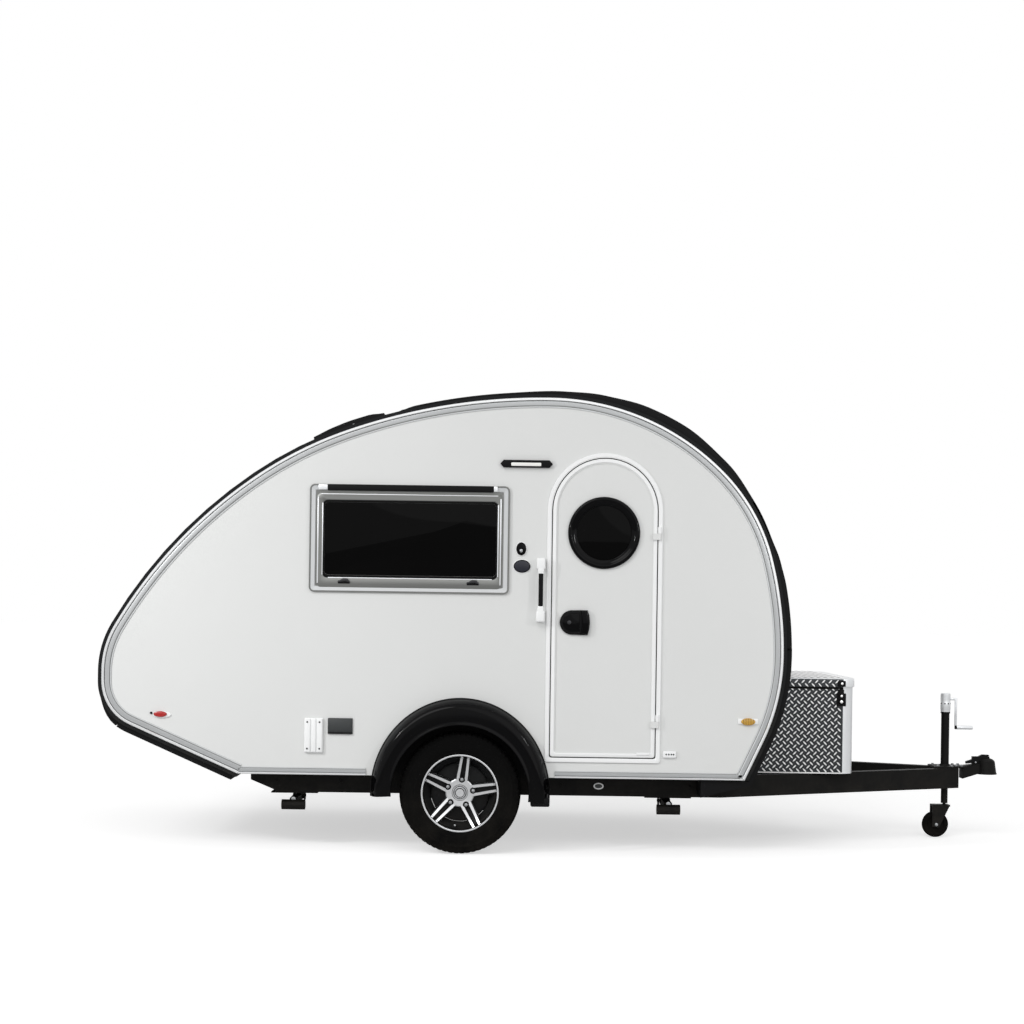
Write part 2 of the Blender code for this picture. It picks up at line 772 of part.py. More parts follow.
def spoke_openings():
    """Outlines, seen from outside, of the windows between spoke pairs and the slots within them."""
    loops = []
    pitch = 2 * math.pi / SPOKE_PAIRS
    for i in range(SPOKE_PAIRS):
        axis = math.radians(SPOKE_FIRST) + i * pitch
        near, far = 0.082, SPOKE_TIP - 0.006
        slot = ((near, -SLOT_ROOT), (far, -SLOT_END), (far, SLOT_END), (near, SLOT_ROOT))
        loops.append([turn_point(p, axis) for p in slot])
        start = math.asin(SPOKE_END / SPOKE_TIP)
        end = pitch - start
        inner = 0.074
        first = math.asin(SPOKE_ROOT / inner)
        outer = [(SPOKE_TIP, start + (end - start) * k / 6) for k in range(7)]
        polar = [(inner, first)] + outer + [(inner, pitch - first)]
        loops.append([(r * math.cos(axis + a), r * math.sin(axis + a)) for r, a in polar])
    return loops


def turn_point(point, angle):
    c, s = math.cos(angle), math.sin(angle)
    return point[0] * c - point[1] * s, point[0] * s + point[1] * c


for label, side in SIDES:
    centre = (0.0, side * WHEEL_PLANE, AXLE_Z)
    tyre = turned(f"tyre_{label}", TYRE_LOOP, centre, side, "rubber")
    rim = turned(f"rim_{label}", RIM_PROFILE, centre, side, "machined_alloy")
    loops = [[(x, z + AXLE_Z) for x, z in loop] for loop in spoke_openings()]
    y0 = side * (WHEEL_PLANE + 0.016)
    cut(rim, plate_xz(f"spoke_cut_{label}", loops, y0, side * (WHEEL_PLANE + 0.12)))
    carry(rim, tyre)
    rim.rotation_euler = (0, 0, 0)
    rim.location = (0, 0, 0)

# Axle beam with trailing arms, backing plates and spindles

AXLE_TUBE = 0.060
AXLE_TUBE_X = 0.155
AXLE_TUBE_Z = 0.240
ARM_INNER = RAIL_OUTER + 0.008
ARM_OUTER = WELL_INNER + 0.020
RAIL_BOTTOM = FRAME_TOP - RAIL_DEPTH

half = AXLE_TUBE / 2
axle = box(
    "axle_beam",
    (AXLE_TUBE_X - half, -ARM_INNER - 0.005, AXLE_TUBE_Z - half),
    (AXLE_TUBE_X + half, ARM_INNER + 0.005, AXLE_TUBE_Z + half),
    "chassis_black",
)
for label, side in SIDES:
    arm_path = (Vector((AXLE_TUBE_X, 0, AXLE_TUBE_Z)), Vector((0, 0, AXLE_Z)))
    direction = (arm_path[1] - arm_path[0]).normalized()
    normal = Vector((-direction.z, 0, direction.x)) * 0.030
    start, end = arm_path[0] - direction * 0.035, arm_path[1] + direction * 0.028
    corners = [start + normal, start - normal, end - normal * 0.9, end + normal * 0.9]
    arm = plate_xz(
        f"axle_arm_{label}", [[(c.x, c.z) for c in corners]], side * ARM_INNER, side * ARM_OUTER
    )
    plate = cylinder(
        f"backing_{label}",
        (0, side * (ARM_OUTER - 0.002), AXLE_Z),
        (0, side * (WHEEL_PLANE - 0.076), AXLE_Z),
        DRUM_RADIUS - 0.002,
        steps=32,
    )
    spindle = cylinder(
        f"spindle_{label}",
        (0, side * (ARM_OUTER - 0.010), AXLE_Z),
        (0, side * (WHEEL_PLANE + 0.030), AXLE_Z),
        SPINDLE_RADIUS,
        steps=24,
    )
    seat = box(
        f"axle_seat_{label}",
        (AXLE_TUBE_X - 0.060, side * (RAIL_OUTER - RAIL_WIDTH), AXLE_TUBE_Z + half - 0.004),
        (AXLE_TUBE_X + 0.060, side * RAIL_OUTER, RAIL_BOTTOM - FIT),
    )
    join(axle, arm, plate, spindle, seat)

# Chassis rails with the A-frame arms, cross members

ARM_RUN = JACK_X - BEND_X
RAIL_INNER = RAIL_OUTER - RAIL_WIDTH
ARM_SLOPE = (RAIL_INNER - JACK_PASS / 2) / ARM_RUN
ARM_SPREAD = RAIL_WIDTH * math.hypot(1, ARM_SLOPE)

for label, side in SIDES:
    tip_inner = RAIL_INNER - ARM_SLOPE * (ARM_TIP - BEND_X)
    tip_x = ARM_TIP
    if tip_inner < FIT:
        tip_x = BEND_X + (RAIL_INNER - FIT) / ARM_SLOPE
        tip_inner = FIT
    shift = (ARM_SPREAD - RAIL_WIDTH) / ARM_SLOPE
    outline = [
        (RAIL_REAR, RAIL_INNER),
        (RAIL_REAR, RAIL_OUTER),
        (BEND_X + shift, RAIL_OUTER),
        (tip_x, tip_inner + ARM_SPREAD),
        (tip_x, tip_inner),
        (BEND_X, RAIL_INNER),
    ]
    rail = plate_xy(
        f"frame_rail_{label}", [[(x, side * y) for x, y in outline]], RAIL_BOTTOM, FRAME_TOP, "chassis_black"
    )
    behind = RAIL_REAR - 0.01
    taper = [(behind, FRAME_TOP - 0.045), (RAIL_REAR + 0.16, RAIL_BOTTOM - 0.005), (behind, 0.20)]
    y0, y1 = side * (RAIL_INNER - 0.05), side * (RAIL_OUTER + 0.05)
    cut(rail, plate_xz(f"rail_taper_{label}", [taper], y0, y1))

CROSS_HALF = RAIL_INNER - FIT
CROSS_DEPTH = 0.080
for name, x in (("front", BEND_X - 0.060), ("rear", RAIL_REAR + 0.10)):
    low = (x - 0.025, -CROSS_HALF, FRAME_TOP - CROSS_DEPTH)
    box(f"cross_member_{name}", low, (x + 0.025, CROSS_HALF, FRAME_TOP), "chassis_black")

# Corner steadies

STEADY_PIVOT_Y = RAIL_INNER - 0.195
STEADY_PIVOT_Z = 0.236
STEADY_REACH = 0.270
EAR = 0.006
LEG_HALF = 0.020

Steady = namedtuple("Steady", "name x side")
STEADIES = (
    Steady("front_right", 1.070, -1),
    Steady("front_left", 1.070, 1),
    Steady("rear_right", -0.860, -1),
    Steady("rear_left", -0.860, 1),
)
for steady in STEADIES:
    side = steady.side
    x = steady.x
    base_z = RAIL_BOTTOM - FIT
    mount = box(
        f"steady_mount_{steady.name}",
        (x - 0.120, side * (STEADY_PIVOT_Y - 0.045), base_z - 0.006),
        (x + 0.120, side * (RAIL_OUTER - 0.005), base_z),
        "chassis_black",
    )
    for end, s in (("rear", -1), ("front", 1)):
        ear = box(
            f"steady_ear_{end}_{steady.name}",
            (x + s * (LEG_HALF + RUN_GAP), side * (STEADY_PIVOT_Y - 0.028), STEADY_PIVOT_Z - 0.024),
            (x + s * (LEG_HALF + RUN_GAP + EAR), side * (STEADY_PIVOT_Y + 0.028), base_z - 0.003),
        )
        join(mount, ear)
    reach = LEG_HALF + RUN_GAP + EAR + 0.004
    pin = cylinder(
        f"steady_pin_{steady.name}",
        (x - reach, side * STEADY_PIVOT_Y, STEADY_PIVOT_Z),
        (x + reach, side * STEADY_PIVOT_Y, STEADY_PIVOT_Z),
        0.008,
        steps=16,
    )
    join(mount, pin)
    y1 = STEADY_PIVOT_Y + STEADY_REACH
    leg_outline = [
        (STEADY_PIVOT_Y - 0.018, STEADY_PIVOT_Z - 0.018),
        (y1, STEADY_PIVOT_Z - 0.014),
        (y1, STEADY_PIVOT_Z + 0.014),
        (STEADY_PIVOT_Y - 0.018, STEADY_PIVOT_Z + 0.018),
    ]
    leg = plate_yz(
        f"steady_leg_{steady.name}",
        [[(side * y, z) for y, z in leg_outline]],
        x - LEG_HALF,
        x + LEG_HALF,
        "chassis_black",
    )
    foot = cylinder(
        f"steady_foot_{steady.name}",
        (x - 0.060, side * (y1 + 0.005), STEADY_PIVOT_Z - 0.018),
        (x + 0.060, side * (y1 + 0.005), STEADY_PIVOT_Z - 0.018),
        0.026,
        steps=20,
    )
    bore = cylinder(
        f"steady_bore_{steady.name}",
        (x - 0.04, side * STEADY_PIVOT_Y, STEADY_PIVOT_Z),
        (x + 0.04, side * STEADY_PIVOT_Y, STEADY_PIVOT_Z),
        0.008 + PIN_GAP,
        steps=16,
    )
    join(leg, foot)
    cut(leg, bore)
    pivot(leg, (x, side * STEADY_PIVOT_Y, STEADY_PIVOT_Z))

# Coupler and jack

COUPLER_REAR = 2.740
COUPLER_BASE = FRAME_TOP + FIT
BELL_LOW = 0.355
BELL_HIGH = 0.425
NECK_X = ARM_TIP + 0.002
coupler = box(
    "coupler",
    (COUPLER_REAR - 0.020, -0.055, COUPLER_BASE),
    (ARM_TIP + 0.012, 0.055, COUPLER_BASE + 0.010),
    "chassis_black",
)
neck = loft(
    "coupler_neck",
    [
        [(NECK_X, -0.040, 0.330), (NECK_X, 0.040, 0.330), (NECK_X, 0.040, 0.399), (NECK_X, -0.040, 0.399)],
        [(2.870, -0.034, 0.360), (2.870, 0.034, 0.360), (2.870, 0.034, 0.412), (2.870, -0.034, 0.412)],
    ],
)
bell_ends = ((BALL_X, 0, BELL_LOW), (BALL_X, 0, BELL_HIGH))
bell = cylinder("coupler_bell", *bell_ends, BELL_RADIUS, steps=28, end_radius=0.046)
socket = cylinder("coupler_socket", (BALL_X, 0, BELL_LOW - 0.015), (BALL_X, 0, 0.402), 0.036, steps=24)
latch = box("coupler_latch", (2.835, -0.012, 0.400), (2.930, 0.012, 0.452))
join(coupler, neck, bell, latch)
cut(coupler, socket)

JACK_TUBE = 0.0225
JACK_WALL = 0.003
JACK_FOOT = 0.286
JACK_HEAD = 0.700
JACK_TOP = 0.800
LEG_TUBE = JACK_TUBE - JACK_WALL - 0.001
LEG_LENGTH = 0.360
tube_ends = ((JACK_X, 0, JACK_FOOT), (JACK_X, 0, JACK_HEAD))
jack = cylinder("jack_tube", *tube_ends, JACK_TUBE, "chassis_black", steps=28)
plate_low = (JACK_X - 0.075, -0.085, FRAME_TOP + FIT)
plate = box("jack_plate", plate_low, (COUPLER_REAR - 0.0205, 0.085, FRAME_TOP + 0.010))
head_ends = ((JACK_X, 0, JACK_HEAD - 0.010), (JACK_X, 0, JACK_TOP))
head = cylinder("jack_head", *head_ends, 0.026, steps=24, end_radius=0.024)
shaft = cylinder("jack_shaft", (JACK_X, 0, 0.770), (JACK_X + 0.062, 0, 0.770), 0.006, steps=12)
crank = cylinder("jack_crank", (JACK_X + 0.058, 0, 0.776), (JACK_X + 0.058, 0, 0.605), 0.006, steps=12)
grip = cylinder("jack_grip", (JACK_X + 0.054, 0, 0.612), (JACK_X + 0.152, 0, 0.612), 0.010, steps=14)
bore_ends = ((JACK_X, 0, JACK_FOOT - 0.01), (JACK_X, 0, JACK_HEAD - 0.02))
bore = cylinder("jack_bore", *bore_ends, JACK_TUBE - JACK_WALL, steps=28)
join(jack, plate, head, shaft, crank, grip)
cut(jack, bore)

CASTER_RADIUS = 0.072
CASTER_TRAIL = 0.050
CASTER_HALF = 0.020
FORK_TOP = 0.178
leg_ends = ((JACK_X, 0, FORK_TOP + 0.012), (JACK_X, 0, FORK_TOP + 0.012 + LEG_LENGTH))
leg = cylinder("jack_leg", *leg_ends, LEG_TUBE, "zinc_steel", steps=28)
pin_ends = ((JACK_X, 0, FORK_TOP - 0.010), (JACK_X, 0, FORK_TOP + 0.014))
swivel_pin = cylinder("swivel_pin", *pin_ends, 0.009, steps=16)
join(leg, swivel_pin)
pivot(leg, (JACK_X, 0, FORK_TOP + 0.012))

fork = box(
    "caster_fork",
    (JACK_X - CASTER_TRAIL - 0.022, -CASTER_HALF - 0.012, FORK_TOP - 0.006),
    (JACK_X + 0.026, CASTER_HALF + 0.012, FORK_TOP + 0.004),
    "chassis_black",
)
cheek_outline = [
    (JACK_X + 0.026, FORK_TOP + 0.002),
    (JACK_X - CASTER_TRAIL - 0.022, FORK_TOP + 0.002),
    (JACK_X - CASTER_TRAIL - 0.022, CASTER_RADIUS - 0.012),
    (JACK_X - CASTER_TRAIL + 0.016, CASTER_RADIUS - 0.016),
]
for label, side in SIDES:
    y0 = side * (CASTER_HALF + 0.006)
    join(fork, plate_xz(f"caster_cheek_{label}", [cheek_outline], y0, side * (CASTER_HALF + 0.012)))
caster_centre = (JACK_X - CASTER_TRAIL, 0, CASTER_RADIUS)
axle_pin = cylinder(
    "caster_pin",
    (caster_centre[0], -CASTER_HALF - 0.016, CASTER_RADIUS),
    (caster_centre[0], CASTER_HALF + 0.016, CASTER_RADIUS),
    0.006,
    steps=14,
)
join(fork, axle_pin)
cut(fork, cylinder("fork_bore", (JACK_X, 0, 0.15), (JACK_X, 0, 0.20), 0.009 + PIN_GAP, steps=16))
pivot(fork, (JACK_X, 0, FORK_TOP))
caster_profile = (
    (CASTER_RADIUS, 0.010),
    (CASTER_RADIUS, -0.010),
    (CASTER_RADIUS - 0.006, -CASTER_HALF),
    (0.050, -CASTER_HALF),
    (0.044, -0.012),
    (0.022, -0.012),
    (0.018, -CASTER_HALF),
    (0.006 + PIN_GAP, -CASTER_HALF),
    (0.006 + PIN_GAP, CASTER_HALF),
    (0.018, CASTER_HALF),
    (0.022, 0.012),
    (0.044, 0.012),
    (0.050, CASTER_HALF),
    (CASTER_RADIUS - 0.006, CASTER_HALF),
)
caster = turned("caster_wheel", caster_profile, caster_centre, 1, "rubber", steps=24)

# Tongue box

BOX_HALF = 0.500
BOX_SHEET = 0.004
BOX_BOTTOM = FRAME_TOP + FIT
BOX_SEAM = 0.850
BOX_TOP = 0.898
BOX_FRONT = 2.075
BOX_BACK = 1.700
BOX_KNEE = 0.780
BOX_FOOT = 1.512


def box_outline(inset, top):
    """Side view of the tongue box, its walls drawn in by inset."""
    slope = math.hypot(BOX_BACK - BOX_FOOT, BOX_KNEE - BOX_BOTTOM) / (BOX_KNEE - BOX_BOTTOM)
    return [
        (BOX_FRONT - inset, BOX_BOTTOM + inset),
        (BOX_FRONT - inset, top),
        (BOX_BACK + inset, top),
        (BOX_BACK + inset, BOX_KNEE),
        (BOX_FOOT + inset * slope, BOX_BOTTOM + inset),
    ]


BOX_RIM = BOX_TOP - BOX_SHEET - FIT
LID_LAP = BOX_SHEET + RUN_GAP
LID_KNUCKLE = 0.006
KNUCKLE_HALF = BOX_HALF - 0.040
toolbox = plate_xz("toolbox", [box_outline(0.0, BOX_RIM)], -BOX_HALF, BOX_HALF, "plate_aluminium")
inside_half = BOX_HALF - BOX_SHEET
cut(toolbox, plate_xz("toolbox_inside", [box_outline(BOX_SHEET, BOX_RIM + 0.1)], -inside_half, inside_half))

axis_x, axis_z = BOX_BACK - LID_KNUCKLE - PIN_GAP, BOX_TOP - LID_KNUCKLE
lid_low = (axis_x, -BOX_HALF - LID_LAP, BOX_SEAM)
lid_high = (BOX_FRONT + LID_LAP, BOX_HALF + LID_LAP, BOX_TOP)
toolbox_lid = box("toolbox_lid", lid_low, lid_high, "plate_aluminium")
hollow_low = (axis_x - 0.010, lid_low[1] + BOX_SHEET, BOX_SEAM - 0.02)
hollow_high = (lid_high[0] - BOX_SHEET, lid_high[1] - BOX_SHEET, BOX_TOP - BOX_SHEET)
cut(toolbox_lid, box("lid_hollow", hollow_low, hollow_high))
pin = ((axis_x, -KNUCKLE_HALF, axis_z), (axis_x, KNUCKLE_HALF, axis_z))
join(toolbox_lid, cylinder("lid_knuckle", *pin, LID_KNUCKLE, steps=14))
for label, side in SIDES:
    y0, y1 = side * (KNUCKLE_HALF + FIT), side * (KNUCKLE_HALF + 0.025)
    low = (axis_x - LID_KNUCKLE, y0, axis_z - 0.011)
    join(toolbox, box(f"box_cheek_{label}", low, (BOX_BACK + 0.002, y1, axis_z - PIN_GAP)))
latch = box(
    "lid_latch",
    (lid_high[0] - 0.002, -0.055, BOX_SEAM - 0.045),
    (lid_high[0] + 0.012, 0.055, BOX_TOP - 0.016),
    bevel=0.004,
)
join(toolbox_lid, latch)
pivot(toolbox_lid, (axis_x, 0, axis_z))

# Door

leaf_gap = FRAME_LIP + RUN_GAP
frame_face = -(BODY_HALF + 0.006)
section = (
    (0.0, -(BODY_HALF + FIT)),
    (0.0, frame_face + 0.002),
    (0.002, frame_face),
    (FRAME_LIP, frame_face),
    (FRAME_LIP, -INNER_HALF),
    (FRAME_FLANGE, -INNER_HALF),
    (FRAME_FLANGE, -(BODY_HALF + FIT)),
)
door_frame = ring("door_frame", door_outline, section, "white_paint")
leaf_inner, leaf_outer = -(INNER_HALF + 0.002), -(BODY_HALF + 0.003)
leaf = plate_xz("door_leaf", [door_outline(leaf_gap)], leaf_inner, leaf_outer, "white_gelcoat")
cut(leaf, plate_xz("leaf_panel_cut", [door_outline(leaf_gap + 0.025)], -BODY_HALF, -(BODY_HALF + 0.02)))
port = (PORTHOLE[0], -BODY_HALF, PORTHOLE[1])
port_start, port_end = (port[0], port[1] + 0.05, port[2]), (port[0], port[1] - 0.05, port[2])
cut(leaf, cylinder("port_cut", port_start, port_end, PORTHOLE_BORE + 2 * FIT, steps=64))

HINGE_X = DOOR_X1 - leaf_gap + 0.012
HINGE_Y = -(BODY_HALF + HINGE_OUT)
for i, z in enumerate(HINGE_HEIGHTS):
    top = z + HINGE_LENGTH / 2
    bottom = z - HINGE_LENGTH / 2
    ends = ((HINGE_X, HINGE_Y, z + FIT), (HINGE_X, HINGE_Y, top))
    fixed = cylinder(f"hinge_fixed_{i}", *ends, HINGE_RADIUS, steps=16)
    low = (HINGE_X, HINGE_Y - 0.002, z + FIT)
    strap = box(f"hinge_fixed_strap_{i}", low, (DOOR_X1 - 0.004, frame_face + 0.003, top))
    join(door_frame, fixed, strap)
    ends = ((HINGE_X, HINGE_Y, bottom), (HINGE_X, HINGE_Y, z))
    moving = cylinder(f"hinge_moving_{i}", *ends, HINGE_RADIUS, steps=16)
    strap_end = HINGE_X - 0.036
    low = (strap_end, HINGE_Y - 0.004, bottom)
    strap = box(f"hinge_moving_strap_{i}", low, (HINGE_X, HINGE_Y + 0.003, z))
    foot_end = -(BODY_HALF + 0.001)
    foot = box(f"hinge_foot_{i}", (strap_end, HINGE_Y, bottom), (HINGE_X - 0.019, foot_end, z))
    join(leaf, moving, strap, foot)
pivot(leaf, (HINGE_X, HINGE_Y, 0.0))

ring_profile = (
    (PORTHOLE_RADIUS - 0.006, 0.018),
    (PORTHOLE_RADIUS, 0.010),
    (PORTHOLE_RADIUS, FIT),
    (PORTHOLE_BORE - FIT, FIT),
    (PORTHOLE_BORE - FIT, -0.028),
    (0.138, -0.028),
    (0.138, 0.014),
    (0.146, 0.018),
)
door_ring = turned("door_window_ring", ring_profile, port, -1, "black_gloss", steps=40)
door_pane = cylinder(
    "door_window_pane",
    (port[0], -(BODY_HALF - 0.016), port[2]),
    (port[0], -(BODY_HALF + 0.004), port[2]),
    0.138 - 3 * FIT,
    "tinted_glass",
    steps=48,
)
HANDLE_X = 0.554
HANDLE_Z = 1.176
HANDLE_HALF = 0.063
handle_nose = arc(HANDLE_X, HANDLE_Z, HANDLE_HALF, 90, 270, 10)
handle_tail = [
    (HANDLE_X + 0.080, HANDLE_Z - HANDLE_HALF),
    (HANDLE_X + 0.091, HANDLE_Z),
    (HANDLE_X + 0.080, HANDLE_Z + HANDLE_HALF),
]
handle = plate_xz(
    "door_handle",
    [handle_nose + handle_tail],
    -(BODY_HALF + FIT),
    -(BODY_HALF + 0.026),
    "black_gloss",
)
for piece in (door_ring, door_pane, handle):
    if piece is not door_ring:
        pivot(piece, (0, 0, 0))
    carry(piece, leaf)

# Small fittings on the right-hand side

wall = -(BODY_HALF + FIT)
GRAB_X = 0.3935
GRAB_OUT = 0.056
GRAB_ENDS = (1.205, 1.470)
grab = box(
    "grab_handle",
    (GRAB_X - 0.011, wall - GRAB_OUT + 0.016, GRAB_ENDS[0] - 0.015),
    (GRAB_X + 0.011, wall - GRAB_OUT + 0.004, GRAB_ENDS[1] + 0.015),
    "black_satin",
)
for end, z in zip(("low", "high"), GRAB_ENDS):
    low, high = (GRAB_X - 0.022, wall, z - 0.029), (GRAB_X + 0.022, wall - GRAB_OUT, z + 0.029)
    join(grab, box(f"grab_end_{end}", low, high))

LAMP_X = 0.314
LAMP_Z = 1.973
LAMP_HALF = 0.132
LAMP_HIGH = 0.0195
lamp_outline = [
    (LAMP_X - LAMP_HALF, LAMP_Z),
    (LAMP_X - LAMP_HALF + LAMP_HIGH, LAMP_Z - LAMP_HIGH),
    (LAMP_X + LAMP_HALF - LAMP_HIGH, LAMP_Z - LAMP_HIGH),
    (LAMP_X + LAMP_HALF, LAMP_Z),
    (LAMP_X + LAMP_HALF - LAMP_HIGH, LAMP_Z + LAMP_HIGH),
    (LAMP_X - LAMP_HALF + LAMP_HIGH, LAMP_Z + LAMP_HIGH),
]
plate_xz("porch_lamp", [lamp_outline], wall, wall - 0.022, "black_satin")
box("outlet_cover", (-0.789, wall, 0.502), (-0.694, wall - 0.020, 0.676), "white_paint", bevel=0.006)
box("vent_cover", (-0.671, wall, 0.601), (-0.546, wall - 0.012, 0.677), "black_satin", bevel=0.004)
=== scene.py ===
"""Looks of a teardrop travel trailer: rails, glazing, doors, wheels, fittings, finishes and a pale studio.

Metres. Places along the trailer are written from the wheel axle and heights from the ground; every piece is
moved along by AXLE_X when it is made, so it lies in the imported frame's own place.
"""

import math

import bmesh
import bpy
from bpy.props import FloatProperty, FloatVectorProperty, IntProperty, PointerProperty
from mathutils import Matrix, Vector


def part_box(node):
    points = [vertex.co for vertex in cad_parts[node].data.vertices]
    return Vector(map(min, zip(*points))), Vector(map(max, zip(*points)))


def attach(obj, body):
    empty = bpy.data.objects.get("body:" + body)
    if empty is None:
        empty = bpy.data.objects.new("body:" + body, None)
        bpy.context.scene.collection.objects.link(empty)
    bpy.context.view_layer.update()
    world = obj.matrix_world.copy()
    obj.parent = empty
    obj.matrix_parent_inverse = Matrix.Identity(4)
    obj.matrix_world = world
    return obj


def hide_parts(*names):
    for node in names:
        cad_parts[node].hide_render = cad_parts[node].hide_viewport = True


bl_info = {
    "name": "Teardrop Trailer Looks",
    "version": (1, 0, 0),
    "blender": (4, 5, 0),
    "location": "3D View > Sidebar > Trailer",
    "description": "Rails, glazing, wheels, fittings and finishes for a packed teardrop trailer",
    "category": "Object",
}

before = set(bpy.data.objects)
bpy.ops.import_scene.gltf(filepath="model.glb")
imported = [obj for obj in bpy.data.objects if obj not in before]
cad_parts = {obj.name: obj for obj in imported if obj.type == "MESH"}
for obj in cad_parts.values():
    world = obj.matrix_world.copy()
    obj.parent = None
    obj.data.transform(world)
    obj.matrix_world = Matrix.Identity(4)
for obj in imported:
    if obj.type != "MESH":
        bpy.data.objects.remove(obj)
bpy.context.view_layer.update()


def span(node):
    """Lowest and highest corner of a frame node, x measured from the axle."""
    low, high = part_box(node)
    return Vector((low.x - AXLE_X, low.y, low.z)), Vector((high.x - AXLE_X, high.y, high.z))


AXLE_X = (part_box("tyre_right")[0].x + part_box("tyre_right")[1].x) / 2
AXLE_Z = (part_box("tyre_right")[0].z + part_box("tyre_right")[1].z) / 2
TYRE_RADIUS = AXLE_Z
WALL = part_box("side_panel_left")[1].y
SIDES = (("right", -1), ("left", 1))

# Side outline of the cabin, walked from its lower rear corner: size and turn in degrees, straight where 0
OUTLINE_START = (-1.124, 0.390)
OUTLINE_HEADING = 156.3
OUTLINE_BOTTOM = 0.390
OUTLINE_SEGMENTS = (
    (0.600, 0.0),
    (0.240, 66.5),
    (0.050, 0.0),
    (0.460, 30.0),
    (2.400, 25.0),
    (1.970, 15.0),
    (3.000, 20.0),
    (1.250, 45.0),
    (0.950, 30.0),
    (1.910, 15.0),
    (1.030, 25.0),
)
SKIN = 0.020
# Gap under a fitting on the wall, so that no two faces share a plane
SEAT = 0.0003
# How far the front and rear guards stand off the shell
GUARD_HEIGHT = 0.0253


# Outline


def outline_legs():
    """Start point, start heading, turn, length and size of each leg of the outline."""
    x, z = OUTLINE_START
    heading = math.radians(OUTLINE_HEADING)
    legs = []
    for size, degrees in OUTLINE_SEGMENTS:
        turn = math.radians(degrees)
        length = size * turn if turn else size
        legs.append((x, z, heading, turn, length, size))
        step = 2 * size * math.sin(turn / 2) if turn else length
        x += step * math.cos(heading - turn / 2)
        z += step * math.sin(heading - turn / 2)
        heading -= turn
    last = (OUTLINE_BOTTOM - z) / math.sin(heading)
    legs.append((x, z, heading, 0.0, last, last))
    return legs


LEGS = outline_legs()
ROW_PITCH = 0.03
OUTLINE_LENGTH = sum(leg[4] for leg in LEGS)


def edge_point(station, offset=0.0):
    """Point (x, z) at a walked length of the outline, moved outwards by offset."""
    for leg in LEGS:
        x, z, heading, turn, length, size = leg
        if station <= length or leg is LEGS[-1]:
            break
        station -= length
    part = station / size if turn else 0.0
    step = 2 * size * math.sin(part / 2) if turn else station
    x += step * math.cos(heading - part / 2)
    z += step * math.sin(heading - part / 2)
    heading -= part
    return x - offset * math.sin(heading), z + offset * math.cos(heading)


def station_near(x, z):
    """Walked length of the outline's point nearest to (x, z)."""
    steps = (OUTLINE_LENGTH * i / 2000 for i in range(2001))
    return min(steps, key=lambda s: math.dist(edge_point(s), (x, z)))


def stations(start, end):
    """Walked lengths from start to end, about a row pitch apart."""
    count = max(1, math.ceil((end - start) / ROW_PITCH))
    return [start + (end - start) * i / count for i in range(count + 1)]


# Shapes: each returns a bmesh of its own


def block(low, high, rounding=0.0, segments=2):
    """Block between two corners, its edges rounded if asked."""
    bm = bmesh.new()
    bmesh.ops.create_cube(bm, size=1.0)
    bmesh.ops.scale(bm, vec=[abs(h - l) for l, h in zip(low, high)], verts=bm.verts)
    bmesh.ops.translate(bm, vec=[(h + l) / 2 for l, h in zip(low, high)], verts=bm.verts)
    soften(bm, bm.edges, rounding, segments)
    return bm


def soften(bm, edges, rounding, segments=2):
    """Rounds the given edges."""
    if rounding:
        bmesh.ops.bevel(
            bm,
            geom=list(edges),
            offset=rounding,
            segments=segments,
            profile=0.5,
            affect="EDGES",
            material=-1,
            clamp_overlap=True,
        )


def rod(start, end, radius, end_radius=None, steps=24, rounding=0.0):
    """Round bar between two points, its end edges rounded if asked."""
    start, end = Vector(start), Vector(end)
    bm = bmesh.new()
    bmesh.ops.create_cone(
        bm,
        cap_ends=True,
        segments=steps,
        radius1=radius,
        radius2=radius if end_radius is None else end_radius,
        depth=(end - start).length,
    )
    soften(bm, [e for e in bm.edges if any(len(f.verts) > 4 for f in e.link_faces)], rounding)
    turn = (end - start).to_track_quat("Z", "Y").to_matrix().to_4x4()
    bm.transform(Matrix.Translation((start + end) / 2) @ turn)
    return bm


def slab(outline, y0, y1, rounding=0.0, segments=2):
    """Plate with an outline in (x, z) between two y values, its outer rim rounded."""
    bm = bmesh.new()
    rim = bm.faces.new([bm.verts.new((x, y0, z)) for x, z in outline])
    raised = bmesh.ops.extrude_face_region(bm, geom=[rim])["geom"]
    top = [v for v in raised if isinstance(v, bmesh.types.BMVert)]
    bmesh.ops.translate(bm, vec=(0, y1 - y0, 0), verts=top)
    soften(bm, {e for v in top for e in v.link_edges if e.other_vert(v) in set(top)}, rounding, segments)
    return bm


def swept(rows, closed=False):
    """Solid dragged through rows of closed section points; closed joins the last row to the first."""
    bm = bmesh.new()
    first = [bm.verts.new(p) for p in rows[0]]
    loop = [bm.edges.new((a, b)) for a, b in zip(first, first[1:] + first[:1])]
    if not closed:
        bm.faces.new(first)
    verts = first
    for row in rows[1:] + ([rows[0]] if closed else []):
        copy = {}
        made = bmesh.ops.extrude_edge_only(bm, edges=loop)["geom"]
        loop = [e for e in made if isinstance(e, bmesh.types.BMEdge)]
        fresh = {v for v in made if isinstance(v, bmesh.types.BMVert)}
        for old in verts:
            copy[old] = next(e.other_vert(old) for e in old.link_edges if e.other_vert(old) in fresh)
        verts = [copy[v] for v in verts]
        for v, p in zip(verts, row):
            v.co = p
    if not closed:
        bm.faces.new(verts)
    return bm


